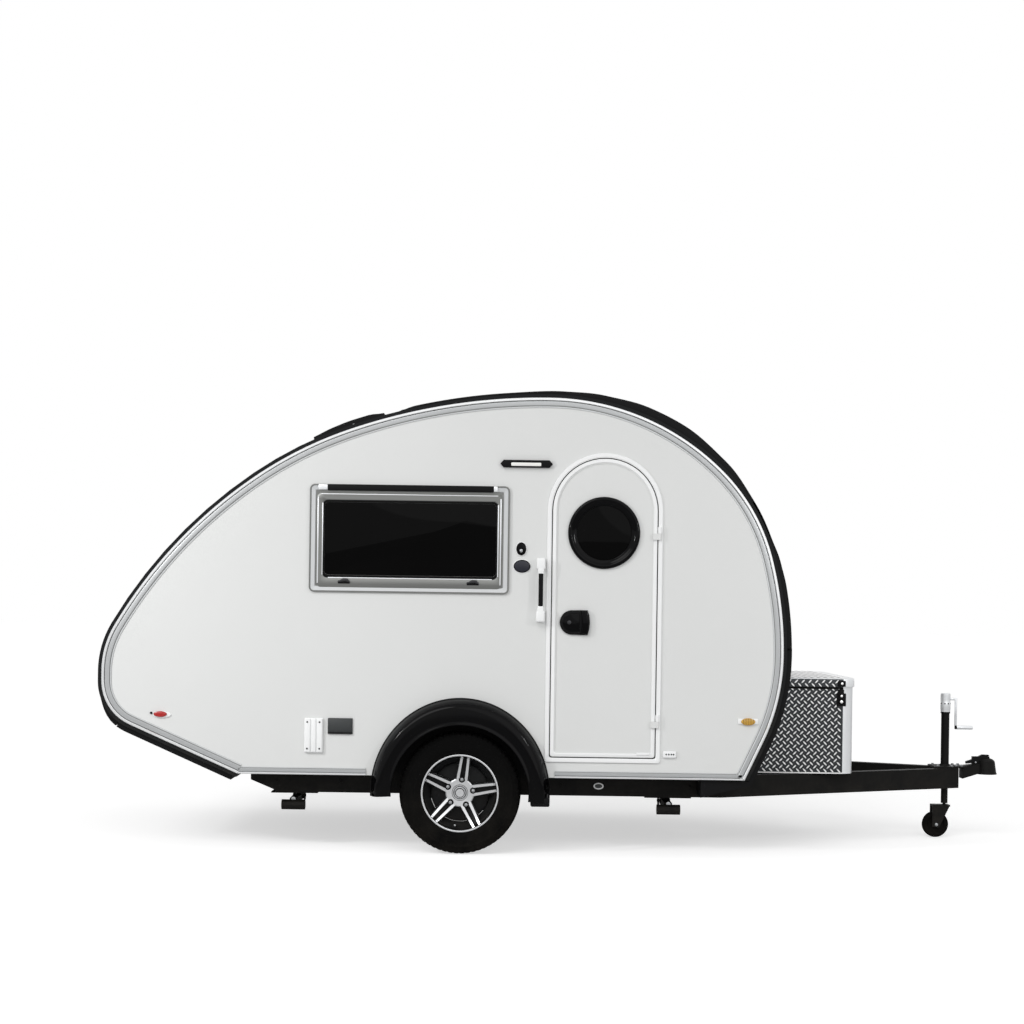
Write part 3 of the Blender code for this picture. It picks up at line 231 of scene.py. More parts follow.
def turned(profile, centre, outward=-1, steps=48):
    """Solid spun about the Y line through centre; profile rows are (radius, distance outwards)."""
    bm = bmesh.new()
    points = [bm.verts.new((r, outward * w, 0.0)) for r, w in profile]
    edges = [bm.edges.new(pair) for pair in zip(points, points[1:])]
    if profile[0][0] > 0:
        edges.append(bm.edges.new((points[-1], points[0])))
    bmesh.ops.spin(
        bm,
        geom=points + edges,
        cent=(0, 0, 0),
        axis=(0, 1, 0),
        dvec=(0, 0, 0),
        angle=math.tau,
        steps=steps,
        use_merge=True,
        use_duplicate=False,
    )
    bmesh.ops.remove_doubles(bm, verts=bm.verts, dist=1e-5)
    bmesh.ops.translate(bm, vec=centre, verts=bm.verts)
    return bm


def dome(centre, radii, steps=24, rings=10):
    """Ellipsoid with radii along x, y and z."""
    bm = bmesh.new()
    bmesh.ops.create_uvsphere(bm, u_segments=steps, v_segments=rings, radius=1.0)
    bmesh.ops.scale(bm, vec=radii, verts=bm.verts)
    bmesh.ops.translate(bm, vec=centre, verts=bm.verts)
    return bm


def rounded(box, radius, inset=0.0, pieces=6):
    """Outline of a rounded rectangle (x0, z0, x1, z1) drawn in by inset."""
    x0, z0, x1, z1 = box[0] + inset, box[1] + inset, box[2] - inset, box[3] - inset
    r = max(radius - inset, 0.003)
    corners = ((x1 - r, z0 + r, 270), (x1 - r, z1 - r, 0), (x0 + r, z1 - r, 90), (x0 + r, z0 + r, 180))
    return [p for cx, cz, a in corners for p in arc(cx, cz, r, a, a + 90, pieces)]


def arc(cx, cz, radius, start, end, pieces, flat=1.0):
    """Points on an arc or, with flat below 1, on a flattened one; angles in degrees."""
    angles = [math.radians(start + (end - start) * i / pieces) for i in range(pieces + 1)]
    return [(cx + radius * math.cos(a), cz + radius * flat * math.sin(a)) for a in angles]


def oval(cx, cz, rx, rz, steps=32):
    """Points of an ellipse."""
    return arc(cx, cz, rx, 0, 360 * (steps - 1) / steps, steps - 1, rz / rx)


def framed(outline, section):
    """Frame that drags a closed section of (inset, y) round an outline in (x, z)."""
    loops = [[(x, y, z) for x, z in outline(inset)] for inset, y in section]
    return swept([list(points) for points in zip(*loops)], closed=True)


def mirrored(bm):
    """The same shape on the other side of the trailer."""
    bmesh.ops.scale(bm, vec=(1, -1, 1), verts=bm.verts)
    return bm


def piece(name, body, parts, stands_for=(), smooth=35.0):
    """Joins (bmesh, finish) parts into one named piece that rides on a body."""
    whole = bmesh.new()
    finishes = []
    for part, finish in parts:
        if finish not in finishes:
            finishes.append(finish)
        bmesh.ops.remove_doubles(part, verts=part.verts, dist=1e-6)
        bmesh.ops.recalc_face_normals(part, faces=part.faces)
        for face in part.faces:
            face.material_index = finishes.index(finish)
        carrier = bpy.data.meshes.new("part")
        part.to_mesh(carrier)
        part.free()
        whole.from_mesh(carrier)
        bpy.data.meshes.remove(carrier)
    whole.transform(Matrix.Translation((AXLE_X, 0, 0)))
    mesh = bpy.data.meshes.new(name)
    whole.to_mesh(mesh)
    whole.free()
    mesh.shade_smooth()
    mesh.set_sharp_from_angle(angle=math.radians(smooth))
    for finish in finishes:
        mesh.materials.append(bpy.data.materials[finish])
    obj = bpy.data.objects.new(name, mesh)
    bpy.context.scene.collection.objects.link(obj)
    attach(obj, body)
    if stands_for:
        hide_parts(*stands_for)
    return obj


# Finishes


def linear(colour):
    """Scene-linear colour from 0 to 255 screen values."""
    return tuple((c / 255 / 12.92) if c <= 10 else ((c / 255 + 0.055) / 1.055) ** 2.4 for c in colour)


def screen(colour):
    """0 to 255 screen values of a colour property."""
    return tuple(255 * c for c in colour)


def node(tree, kind, inputs=None, **settings):
    """Adds a shader node; an input that is a socket is linked, any other is set."""
    made = tree.nodes.new(kind)
    for key, value in settings.items():
        setattr(made, key, value)
    for key, value in (inputs or {}).items():
        if isinstance(value, bpy.types.NodeSocket):
            tree.links.new(value, made.inputs[key])
        else:
            made.inputs[key].default_value = value
    return made


def noise(tree, vector, scale, detail, roughness=0.5):
    """Factor of a noise texture."""
    inputs = {"Vector": vector, "Scale": scale, "Detail": detail, "Roughness": roughness}
    return node(tree, "ShaderNodeTexNoise", inputs).outputs["Fac"]


def blend_colours(tree, factor, first, second):
    """Colour between two others."""
    made = node(tree, "ShaderNodeMix", {0: factor, 6: first, 7: second}, data_type="RGBA")
    return made.outputs[2]


def new_group(name, inputs, outputs):
    """Empty shader group with its sockets; returns the group and its input and output nodes."""
    group = bpy.data.node_groups.new(name, "ShaderNodeTree")
    for label, kind, default in inputs:
        socket = group.interface.new_socket(label, in_out="INPUT", socket_type=kind)
        if default is not None:
            socket.default_value = default
    for label, kind in outputs:
        group.interface.new_socket(label, in_out="OUTPUT", socket_type=kind)
    return group, group.nodes.new("NodeGroupInput"), group.nodes.new("NodeGroupOutput")


FLOAT, VECTOR = "NodeSocketFloat", "NodeSocketVector"
DUST = (126, 118, 106)


def paint_grain_group():
    """Broad mottling of a painted sheet and the fine orange peel over it."""
    group, given, out = new_group(
        "Paint grain",
        (("Vector", VECTOR, None), ("Broad", FLOAT, 1.5), ("Fine", FLOAT, 220.0)),
        (("Tone", FLOAT), ("Height", FLOAT)),
    )
    broad = noise(group, given.outputs["Vector"], given.outputs["Broad"], 5.0, 0.6)
    fine = noise(group, given.outputs["Vector"], given.outputs["Fine"], 2.0)
    group.links.new(broad, out.inputs["Tone"])
    group.links.new(fine, out.inputs["Height"])
    return group


def road_dust_group():
    """Mask of dust that thickens towards the ground, broken up by noise."""
    group, given, out = new_group(
        "Road dust",
        (("Vector", VECTOR, None), ("Top", FLOAT, 0.7), ("Scale", FLOAT, 9.0)),
        (("Mask", FLOAT),),
    )
    height = node(group, "ShaderNodeSeparateXYZ", {"Vector": given.outputs["Vector"]})
    inputs = {"Value": height.outputs["Z"], "From Min": given.outputs["Top"], "From Max": 0.0}
    fade = node(group, "ShaderNodeMapRange", inputs)
    patches = noise(group, given.outputs["Vector"], given.outputs["Scale"], 8.0, 0.7)
    spread = node(group, "ShaderNodeMapRange", {"Value": patches, "From Min": 0.35, "From Max": 0.75})
    factors = {0: fade.outputs["Result"], 1: spread.outputs["Result"]}
    mask = node(group, "ShaderNodeMath", factors, operation="MULTIPLY")
    group.links.new(mask.outputs[0], out.inputs["Mask"])
    return group


def rolled_metal_group():
    """Long fine lines of rolled or drawn metal along one direction."""
    group, given, out = new_group(
        "Rolled metal",
        (("Vector", VECTOR, None), ("Stretch", VECTOR, (4.0, 4.0, 220.0)), ("Stain", FLOAT, 14.0)),
        (("Lines", FLOAT), ("Stain", FLOAT)),
    )
    factors = {0: given.outputs["Vector"], 1: given.outputs["Stretch"]}
    scaled = node(group, "ShaderNodeVectorMath", factors, operation="MULTIPLY")
    lines = noise(group, scaled.outputs[0], 1.0, 3.0)
    stain = noise(group, given.outputs["Vector"], given.outputs["Stain"], 6.0, 0.65)
    group.links.new(lines, out.inputs["Lines"])
    group.links.new(stain, out.inputs["Stain"])
    return group


def shader_of(name):
    """New material: its tree, its main shader and object coordinates."""
    material = bpy.data.materials.new(name)
    material.use_nodes = True
    tree = material.node_tree
    coordinates = node(tree, "ShaderNodeTexCoord").outputs["Object"]
    return tree, tree.nodes["Principled BSDF"], coordinates


def set_shader(shader, **values):
    """Sets inputs of the main shader by name."""
    for key, value in values.items():
        shader.inputs[key.replace("_", " ")].default_value = value


def ranged(tree, value, low, high):
    """Value from 0 to 1 carried to a range."""
    inputs = {"Value": value, "To Min": low, "To Max": high}
    return node(tree, "ShaderNodeMapRange", inputs).outputs["Result"]


def painted(
    name, colour, rough=0.4, mottle=0.05, peel=0.1, broad=1.5, fine=220.0, dust=0.0, top=0.7, **shader_values
):
    """Paint, plastic or rubber: mottled colour, orange peel, uneven sheen and road dust low down."""
    tree, shader, coordinates = shader_of(name)
    grain = node(tree, "ShaderNodeGroup", node_tree=bpy.data.node_groups["Paint grain"])
    tree.links.new(coordinates, grain.inputs["Vector"])
    grain.inputs["Broad"].default_value = broad
    grain.inputs["Fine"].default_value = fine
    base = linear(colour)
    dark = tuple(c * (1 - mottle) for c in base) + (1.0,)
    light = tuple(min(1.0, c * (1 + mottle)) for c in base) + (1.0,)
    tone = grain.outputs["Tone"]
    result = blend_colours(tree, ranged(tree, tone, -0.5, 1.5), dark, light)
    sheen = ranged(tree, tone, max(0.0, rough - 0.08), min(1.0, rough + 0.08))
    if dust:
        mask = node(tree, "ShaderNodeGroup", node_tree=bpy.data.node_groups["Road dust"])
        tree.links.new(coordinates, mask.inputs["Vector"])
        mask.inputs["Top"].default_value = top
        factors = {0: mask.outputs["Mask"], 1: dust}
        weight = node(tree, "ShaderNodeMath", factors, operation="MULTIPLY").outputs[0]
        result = blend_colours(tree, weight, result, (*linear(DUST), 1.0))
        sheen = ranged(tree, weight, sheen, 0.9)
    relief = {"Height": grain.outputs["Height"], "Strength": peel, "Distance": 0.001}
    bump = node(tree, "ShaderNodeBump", relief)
    tree.links.new(result, shader.inputs["Base Color"])
    tree.links.new(sheen, shader.inputs["Roughness"])
    tree.links.new(bump.outputs["Normal"], shader.inputs["Normal"])
    set_shader(shader, **shader_values)


def metal(name, colour, rough=0.3, stretch=(4.0, 4.0, 220.0), stain=0.12, **shader_values):
    """Bare metal with drawn lines and faint stains."""
    tree, shader, coordinates = shader_of(name)
    grain = node(tree, "ShaderNodeGroup", node_tree=bpy.data.node_groups["Rolled metal"])
    tree.links.new(coordinates, grain.inputs["Vector"])
    grain.inputs["Stretch"].default_value = stretch
    base = linear(colour)
    dull = tuple(c * (1 - stain) for c in base) + (1.0,)
    result = blend_colours(tree, grain.outputs["Stain"], dull, (*base, 1.0))
    sheen = ranged(tree, grain.outputs["Lines"], rough * 0.75, rough * 1.3)
    relief = {"Height": grain.outputs["Lines"], "Strength": 0.06, "Distance": 0.0005}
    bump = node(tree, "ShaderNodeBump", relief)
    tree.links.new(result, shader.inputs["Base Color"])
    tree.links.new(sheen, shader.inputs["Roughness"])
    tree.links.new(bump.outputs["Normal"], shader.inputs["Normal"])
    set_shader(shader, Metallic=1.0, **shader_values)


def glazed(name, colour, rough=0.04, through=0.0, haze=0.02, **shader_values):
    """Acrylic or lens plastic with faint wiping haze."""
    tree, shader, coordinates = shader_of(name)
    wiping = noise(tree, coordinates, 6.0, 6.0)
    base = linear(colour)
    dark = tuple(c * 0.9 for c in base) + (1.0,)
    light = tuple(min(1.0, c * 1.1) for c in base) + (1.0,)
    tree.links.new(blend_colours(tree, wiping, dark, light), shader.inputs["Base Color"])
    tree.links.new(ranged(tree, wiping, rough, rough + haze), shader.inputs["Roughness"])
    set_shader(shader, Transmission_Weight=through, IOR=1.49, **shader_values)


def make_finishes(paint):
    """All finishes of the trailer, in a maker's words; several of them also carry painted highlights or
    painted shade.
    """
    paint_grain_group()
    road_dust_group()
    rolled_metal_group()
    near_black = {"Specular_IOR_Level": 0.10}
    painted(
        "gelcoat panel", screen(paint.panel), 0.42, mottle=0.015, peel=0.03, broad=0.8, dust=0.10, top=0.62
    )
    painted("white enamel", screen(paint.trim_white), 0.32, mottle=0.02, peel=0.04, fine=300.0)
    painted("window grey", screen(paint.window_grey), 0.34, mottle=0.04, peel=0.05, fine=400.0, Metallic=0.75)
    painted("window light grey", (205, 207, 208), 0.34, mottle=0.04, peel=0.04, fine=400.0, Metallic=0.3)
    painted("rail grey", (178, 180, 181), 0.36, mottle=0.06, peel=0.04, fine=400.0, Metallic=0.3)
    painted(
        "black shell", screen(paint.shell_black), 0.40, mottle=0.10, peel=0.22, fine=160.0, dust=0.12,
        top=1.0, **near_black,
    )
    painted(
        "gloss black", (6, 6, 7), 0.045, mottle=0.06, peel=0.008, dust=0.01, top=0.5, Specular_IOR_Level=0.10
    )
    # Satin black of housings, guards and fittings; also the painted shadow on the vent's lip
    painted("satin black and painted shade", (15, 15, 16), 0.5, mottle=0.12, peel=0.15, fine=500.0, **near_black)
    painted(
        "chassis black", (15, 15, 15), 0.52, mottle=0.18, peel=0.25, fine=350.0, dust=0.12, top=0.55,
        **near_black,
    )
    painted(
        "tyre rubber", (9, 9, 9), 0.82, mottle=0.15, peel=0.35, fine=600.0, dust=0.06, top=0.5,
        Specular_IOR_Level=0.05,
    )
    # Black rubber of seals and beads; also painted shade in the wheels' lug holes and a painted shadow under
    # the tongue box lid
    painted("seal rubber and painted shade", (12, 12, 12), 0.7, mottle=0.1, peel=0.2, fine=800.0, **near_black)
    # Dark paint of the wheels' pockets, barrels and drums; also the painted shadow ring at the hub's step
    painted(
        "pocket paint and painted shade", (26, 27, 28), 0.38, mottle=0.1, peel=0.05, fine=500.0, dust=0.1, top=0.5, **near_black
    )
    painted("floor board", (88, 84, 78), 0.8, mottle=0.2, peel=0.3, fine=90.0, dust=0.3, top=0.6)
    painted("vent grey", (44, 47, 48), 0.5, mottle=0.05, peel=0.1, fine=500.0)
    painted("badge blue", (14, 17, 30), 0.3, mottle=0.05, peel=0.05, fine=500.0)
    metal("bright rail", (244, 245, 246), 0.30, stretch=(3.0, 3.0, 3.0), stain=0.08)
    metal("machined face", (224, 225, 227), 0.24, stretch=(160.0, 8.0, 160.0), stain=0.06)
    # Box sheet: its rolled lines are real, but its dark colour is painted shade, a darker copy of the box's
    # one metal
    metal("rolled sheet in painted shade", screen(paint.sheet), 0.42, stretch=(240.0, 6.0, 6.0), stain=0.25)
    # Tread plate lugs and latch studs: a bright copy of the box's metal, as a painted highlight
    metal("bright lug metal and painted highlight", (250, 250, 250), 0.34, stretch=(60.0, 60.0, 60.0), stain=0.05)
    # White sheet of the jack cap, crank and window strip ends; also painted highlights on the window frames
    # and the painted reflection on the tongue box's top and corners
    painted("bright sheet and painted highlight", (240, 242, 244), 0.3, mottle=0.03, peel=0.03, fine=300.0, Metallic=0.35)
    metal("zinc plate", (176, 178, 180), 0.38, stretch=(30.0, 30.0, 30.0), stain=0.25)
    metal("dark steel", (70, 70, 72), 0.42, stretch=(40.0, 40.0, 40.0), stain=0.3)
    # Glazing, nearly opaque: partly real dark tint, partly painted shade of the unlit cabin behind
    glazed("tinted acrylic and painted shade", (5, 5, 5), 0.03, through=0.01, Specular_IOR_Level=0.06)
    glazed("red lens", (170, 22, 20), 0.08, haze=0.04, Coat_Weight=0.4)
    glazed("amber lens", (204, 158, 62), 0.08, haze=0.04, Coat_Weight=0.4)
    # Darker copy of the amber lens for its ribs: painted shade
    glazed("amber lens in painted shade", (112, 82, 30), 0.15, haze=0.04)
    glazed("white lens", (244, 244, 240), 0.15, haze=0.05)


FRAME_FINISHES = {
    # finish: the frame nodes that wear it
    "gelcoat panel": ("side_panel_right", "side_panel_left", "door_leaf"),
    "white enamel": ("door_frame",),
    "black shell": ("roof_skin",),
    "satin black and painted shade": ("front_guard", "rear_guard", "hatch_frame", "wheel_box_right", "wheel_box_left"),
    "gloss black": ("hatch_lid",),
    "tinted acrylic and painted shade": ("front_window", "rear_window"),
    "floor board": ("floor_panel",),
    "chassis black": ("axle_beam", "coupler", "jack_tube", "jack_leg", "caster_fork")
    + tuple(f"frame_rail_{label}" for label, _ in SIDES)
    + tuple(f"cross_member_{end}" for end in ("front", "rear"))
    + tuple(
        f"steady_{kind}_{end}_{label}"
        for kind in ("mount", "leg")
        for end in ("front", "rear")
        for label, _ in SIDES
    ),
}


def dress_frame():
    """Gives each shown frame node its finish."""
    for finish, names in FRAME_FINISHES.items():
        for name in names:
            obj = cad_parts[name]
            obj.data.materials.clear()
            obj.data.materials.append(bpy.data.materials[finish])


# Cabin edges and shell


def out(side, proud):
    """Y of a surface that stands proud of the side wall."""
    return side * (WALL + proud)


def near(proud):
    """Y of a surface that stands proud of the near wall."""
    return out(-1, proud)


RAIL_BEAD = ((0.0, 0.0), (0.0, 0.009), (0.003, 0.0125), (0.011, 0.0125), (0.014, 0.009), (0.014, 0.0))
RAIL_GROOVE = ((0.013, 0.0), (0.013, 0.004), (0.019, 0.004), (0.019, 0.0))
RAIL_LEDGE = ((0.017, 0.0), (0.017, 0.0065), (0.020, 0.0075), (0.037, 0.0075), (0.040, 0.0055), (0.040, 0.0))
RAIL_FLANGE = ((0.039, 0.0), (0.039, 0.0030), (0.044, 0.0030), (0.044, 0.0))
RAIL_EDGE = ((0.0435, 0.0), (0.0435, 0.0045), (0.0485, 0.0045), (0.0500, 0.0025), (0.0500, 0.0))
RAIL_PARTS = (
    (RAIL_BEAD, "bright rail"),
    (RAIL_GROOVE, "seal rubber and painted shade"),
    (RAIL_LEDGE, "rail grey"),
    (RAIL_FLANGE, "window grey"),
    (RAIL_EDGE, "window light grey"),
)
# Height of the sills' section, as a share of the rails' width
SILL_SHARE = 0.72
SILL_ENDS = ((OUTLINE_START[0] + 0.004, -0.4775), (0.4775, edge_point(OUTLINE_LENGTH)[0] - 0.006))


def make_edge_rails(sizes):
    """Bright bead, dark groove, grey ledge and edge lip round each side wall, with the sills at its foot."""
    for label, side in SIDES:
        parts = []
        for section, finish in RAIL_PARTS:
            rows = []
            for s in stations(0.0, OUTLINE_LENGTH):
                points = [(edge_point(s, -inset * sizes.rail_scale), proud) for inset, proud in section]
                rows.append([(p[0], out(side, proud + SEAT), p[1]) for p, proud in points])
            parts.append((swept(rows), finish))
            foot = [
                (out(side, proud + SEAT), OUTLINE_BOTTOM + inset * SILL_SHARE) for inset, proud in section
            ]
            for ends in SILL_ENDS:
                parts.append((swept([[(x, y, z) for y, z in foot] for x in ends]), finish))
        piece(f"edge_rail_{label}", "trailer", parts, [f"edge_trim_{label}"], smooth=25)


def at_y(point, y):
    """Outline point (x, z) placed at a y value."""
    return point[0], y, point[1]


def skin_screw(station, y, radius=0.006):
    """Pan-head screw on the shell."""
    foot, head = edge_point(station, SKIN - 0.001), edge_point(station, SKIN + 0.0025)
    return rod(at_y(foot, y), at_y(head, y), radius, radius * 0.7, 12)


HATCH = (station_near(-0.829, 2.03), station_near(-0.372, 2.21))
HATCH_FRAME_HEIGHT = 0.0183
HATCH_LID_HEIGHT = 0.0223
FRONT_GLASS = (station_near(0.46, 2.32), station_near(1.385, 1.88))
REAR_GLASS = (station_near(-1.802, 1.06), station_near(-1.56, 1.425))
SHELL_SEAMS = ((-0.30, 2.23), (1.62, 1.20))


def strip(start, end, y0, y1, low, high):
    """Curved plate on the shell between two stations, two y values and two heights above the outline."""
    rows = []
    for s in stations(start, end):
        a, b = edge_point(s, low), edge_point(s, high)
        rows.append([at_y(a, y0), at_y(b, y0), at_y(b, y1), at_y(a, y1)])
    return swept(rows)


def border(start, end, half, width, low, high):
    """Rectangular frame of strips that follows the shell."""
    return [
        strip(start, end, -half, -half + width, low, high),
        strip(start, end, half - width, half, low, high),
        strip(start, start + width, -half, half, low, high + 0.0002),
        strip(end - width, end, -half, half, low, high + 0.0002),
    ]


def make_shell_details(sizes):
    """Screws along the shell's edges and the seams across it."""
    parts = []
    s = 0.25
    while s < OUTLINE_LENGTH - 0.3:
        for side in (-1, 1):
            parts.append((skin_screw(s, side * (WALL - 0.020)), "zinc plate"))
        s += sizes.screw_pitch
    for x, z in SHELL_SEAMS:
        s = station_near(x, z)
        seam = strip(s - 0.020, s + 0.020, -WALL + 0.002, WALL - 0.002, SKIN - 0.001, SKIN + 0.0022)
        parts.append((seam, "black shell"))
    piece("shell_screws", "trailer", parts)


# Raised black bands beside the front window: x, z of the outline nearby, height above the shell
BRIM = (
    (-0.33, 2.22, 0.0010),
    (-0.25, 2.24, 0.0100),
    (0.20, 2.32, 0.0110),
    (0.50, 2.31, 0.0180),
    (0.70, 2.27, 0.0280),
    (0.90, 2.20, 0.0400),
    (1.08, 2.11, 0.0420),
    (1.28, 1.96, 0.0290),
    (1.45, 1.79, 0.0130),
    (1.57, 1.62, 0.0100),
    (1.62, 1.50, 0.0200),
    (1.66, 1.38, 0.0250),
    (1.68, 1.20, GUARD_HEIGHT),
    (1.66, 1.05, GUARD_HEIGHT),
)


# The two bands end, and the cowl across the front begins, at these rows of the table
BANDS_TO = 10
COWL_FROM = 8
BAND_WIDTH = 0.150


def raised_band(marks, y0, y1, ease=0.004):
    """Band over the shell through (station, height) marks, its crest drawn in by ease."""
    rows = []
    for (s0, h0), (s1, h1) in zip(marks, marks[1:]):
        steps = max(2, round((s1 - s0) / ROW_PITCH))
        for k in range(steps):
            t = k / steps
            soft = t * t * (3 - 2 * t)
            rows.append((s0 + (s1 - s0) * t, h0 + (h1 - h0) * soft))
    rows.append(marks[-1])
    loops = []
    for s, height in rows:
        foot = edge_point(s, SKIN - 0.001)
        shoulder = edge_point(s, SKIN + height * 0.7)
        crest = edge_point(s, SKIN + height)
        loop = [at_y(foot, y0), at_y(shoulder, y0), at_y(crest, y0 + ease)]
        loops.append(loop + [at_y(crest, y1 - ease), at_y(shoulder, y1), at_y(foot, y1)])
    return swept(loops)


def make_front_brim():
    """Raised black bands beside the front window and the cowl below it, down to the front guard."""
    reach = span("front_guard")[1].y
    marks = [(station_near(x, z), height) for x, z, height in BRIM]
    parts = [(raised_band(marks[COWL_FROM:], -reach, reach), "satin black and painted shade")]
    for side in (-1, 1):
        y0, y1 = sorted((side * (reach - BAND_WIDTH), side * reach))
        parts.append((raised_band(marks[:BANDS_TO], y0, y1), "satin black and painted shade"))
    piece("front_brim", "trailer", parts)


def make_panorama_window():
    """Rubber bead and printed border of the curved front and rear windows, and the rear window's hinges."""
    for name, ends, half, height in (
        ("front_window_surround", FRONT_GLASS, 0.700, 0.0105),
        ("rear_window_surround", REAR_GLASS, 0.520, 0.0145),
    ):
        top = SKIN + height
        bead = border(ends[0] - 0.012, ends[1] + 0.012, half + 0.012, 0.013, SKIN, top + 0.002)
        print_edge = border(ends[0] + 0.001, ends[1] - 0.001, half - 0.001, 0.045, top - 0.001, top + 0.0012)
        parts = [(b, "seal rubber and painted shade") for b in bead] + [(b, "satin black and painted shade") for b in print_edge]
        piece(name, "trailer", parts)
    hinge = REAR_GLASS[1] - 0.004
    parts = []
    for y in (-0.40, 0.0, 0.40):
        high = edge_point(hinge, SKIN + 0.020)
        pin = rod(at_y(high, y - 0.05), at_y(high, y + 0.05), 0.007, steps=16, rounding=0.002)
        leaf = strip(hinge - 0.03, hinge + 0.035, y - 0.025, y + 0.025, SKIN + 0.012, SKIN + 0.019)
        parts += [(pin, "zinc plate"), (leaf, "zinc plate")]
    piece("rear_window_hinges", "trailer", parts)


def make_hatch_details():
    """Rim and dome of the roof hatch lid, and the bright stays of its hinge."""
    lid = (HATCH[0] + 0.004, HATCH[1] - 0.020)
    top = SKIN + HATCH_FRAME_HEIGHT + HATCH_LID_HEIGHT
    rim = border(lid[0] + 0.012, lid[1] - 0.012, 0.208, 0.016, top - 0.001, top + 0.004)
    parts = [(b, "gloss black") for b in rim]
    middle = (lid[0] + lid[1]) / 2
    marks = [(lid[0] + 0.014, 0.0410), (lid[0] + 0.040, 0.1120), (lid[0] + 0.150, 0.1180), (middle, 0.1200)]
    marks += [(lid[1] - 0.120, 0.1180), (lid[1] - 0.040, 0.1050), (lid[1] - 0.014, 0.0410)]
    parts.append((raised_band(marks, -0.200, 0.200, 0.030), "gloss black"))
    piece("hatch_dome", "hatch", parts)
    parts = []
    for y in (-0.15, 0.15):
        s = HATCH[1] + 0.018
        stay = strip(s - 0.012, s + 0.018, y - 0.018, y + 0.018, SKIN - 0.001, SKIN + 0.010)
        parts.append((stay, "bright rail"))
    piece("hatch_stays", "trailer", parts)


# Side windows

WINDOW = (-0.777, 1.313, 0.232, 1.858)
SASH = (-0.739, 1.338, 0.193, 1.813)
PANE = (-0.701, 1.400, 0.166, 1.767)
HINGE_STRIP = (-0.687, 1.826, 0.150, 1.857)
STRIP_ENDS = ((-0.733, -0.6875), (0.1505, 0.170))
WINDOW_LATCHES = (-0.600, 0.050)
LATCH_HEIGHT = 1.364


def between(outer, inner, t):
    """Box between two others, t from 0 to 1."""
    return tuple(a + (b - a) * t for a, b in zip(outer, inner))


def make_side_windows():
    """Awning window each side: frame, sash with painted highlight strips, dark pane (tint and painted shade
    of the cabin behind), hinge strip and two latches.
    """
    for label, side in SIDES:

        def y(proud):
            return out(side, proud)

        def frame_line(inset):
            return rounded(WINDOW, 0.026, inset)

        def sash_line(t):
            return rounded(between(SASH, PANE, t), 0.022)

        lip = (
            (0.0, y(SEAT)), (0.0, y(0.010)), (0.002, y(0.013)), (0.006, y(0.013)), (0.008, y(0.010)),
            (0.008, y(SEAT)),
        )
        face = ((0.007, y(SEAT)), (0.007, y(0.0095)), (0.028, y(0.0075)), (0.031, y(0.004)), (0.031, y(SEAT)))
        liner = ((0.0103, y(0.0)), (0.034, y(0.002)), (0.034, y(-0.030)), (0.0103, y(-0.030)))
        rebate = ((0.029, y(0.0)), (0.029, y(0.003)), (0.046, y(0.003)), (0.046, y(0.0)))
        sash = (
            (0.0, y(-0.006)), (0.0, y(0.009)), (0.08, y(0.0115)), (0.70, y(0.0115)), (0.78, y(0.009)),
            (1.0, y(0.009)), (1.0, y(-0.006)),
        )
        bead = (
            (0.78, y(0.008)), (0.78, y(0.0115)), (0.84, y(0.0130)), (0.93, y(0.0130)), (0.99, y(0.0105)),
            (0.99, y(0.008)),
        )
        parts = [
            (framed(frame_line, lip), "window grey"),
            (framed(frame_line, face), "window light grey"),
            (framed(frame_line, liner), "window grey"),
            (framed(frame_line, rebate), "window grey"),
            (framed(sash_line, sash), "window grey"),
            (framed(sash_line, bead), "seal rubber and painted shade"),
        ]
        x0, foot, x1, head = HINGE_STRIP
        parts.append((block((x0, y(0.008), foot), (x1, y(0.019), head), 0.004, 3), "satin black and painted shade"))
        for x0, x1 in STRIP_ENDS:
            end = block((x0, y(0.008), foot + 0.003), (x1, y(0.017), head - 0.001), 0.003)
            parts.append((end, "bright sheet and painted highlight"))
        # Thin bright strips along the sash and pane edges: painted highlights on the frame
        for x0, x1, z0, z1 in (
            (SASH[0] + 0.002, SASH[0] + 0.008, SASH[1] + 0.020, SASH[3] - 0.020),
            (PANE[0] - 0.012, PANE[0] - 0.0075, PANE[1], PANE[3] - 0.004),
            (PANE[2] + 0.0065, PANE[2] + 0.012, PANE[1], PANE[3] - 0.004),
            (SASH[2] - 0.008, SASH[2] - 0.002, SASH[1] + 0.020, SASH[3] - 0.020),
            (PANE[0] + 0.020, PANE[2] - 0.020, PANE[1] - 0.0165, PANE[1] - 0.0120),
            (SASH[0] + 0.020, SASH[2] - 0.020, SASH[3] - 0.007, SASH[3] - 0.003),
        ):
            parts.append((block((x0, y(0.0100), z0), (x1, y(0.0128), z1), 0.001), "bright sheet and painted highlight"))
        z = LATCH_HEIGHT
        for x in WINDOW_LATCHES:
            plate = block((x - 0.030, y(0.010), z - 0.008), (x + 0.030, y(0.014), z + 0.008), 0.002)
            parts.append((plate, "satin black and painted shade"))
            lever = [(x - 0.034, z), (x - 0.004, z + 0.020), (x + 0.020, z + 0.018), (x + 0.034, z - 0.004)]
            lever.append((x + 0.010, z + 0.004))
            parts.append((slab(lever, y(0.013), y(0.020), 0.002), "dark steel"))
        piece(f"side_window_{label}", "trailer", parts, [f"window_frame_{label}"], smooth=30)
        pane = [(slab(rounded(PANE, 0.022, -0.002), y(-0.002), y(0.0085), 0.0015), "tinted acrylic and painted shade")]
        piece(f"side_glass_{label}", "trailer", pane, [f"window_pane_{label}"])


# Door

DOOR_X = (0.424, 1.007)
DOOR_Z = (0.470, 2.032)
PORTHOLE = (0.710, 1.630)
HINGE_HEIGHTS = (0.682, 1.631)


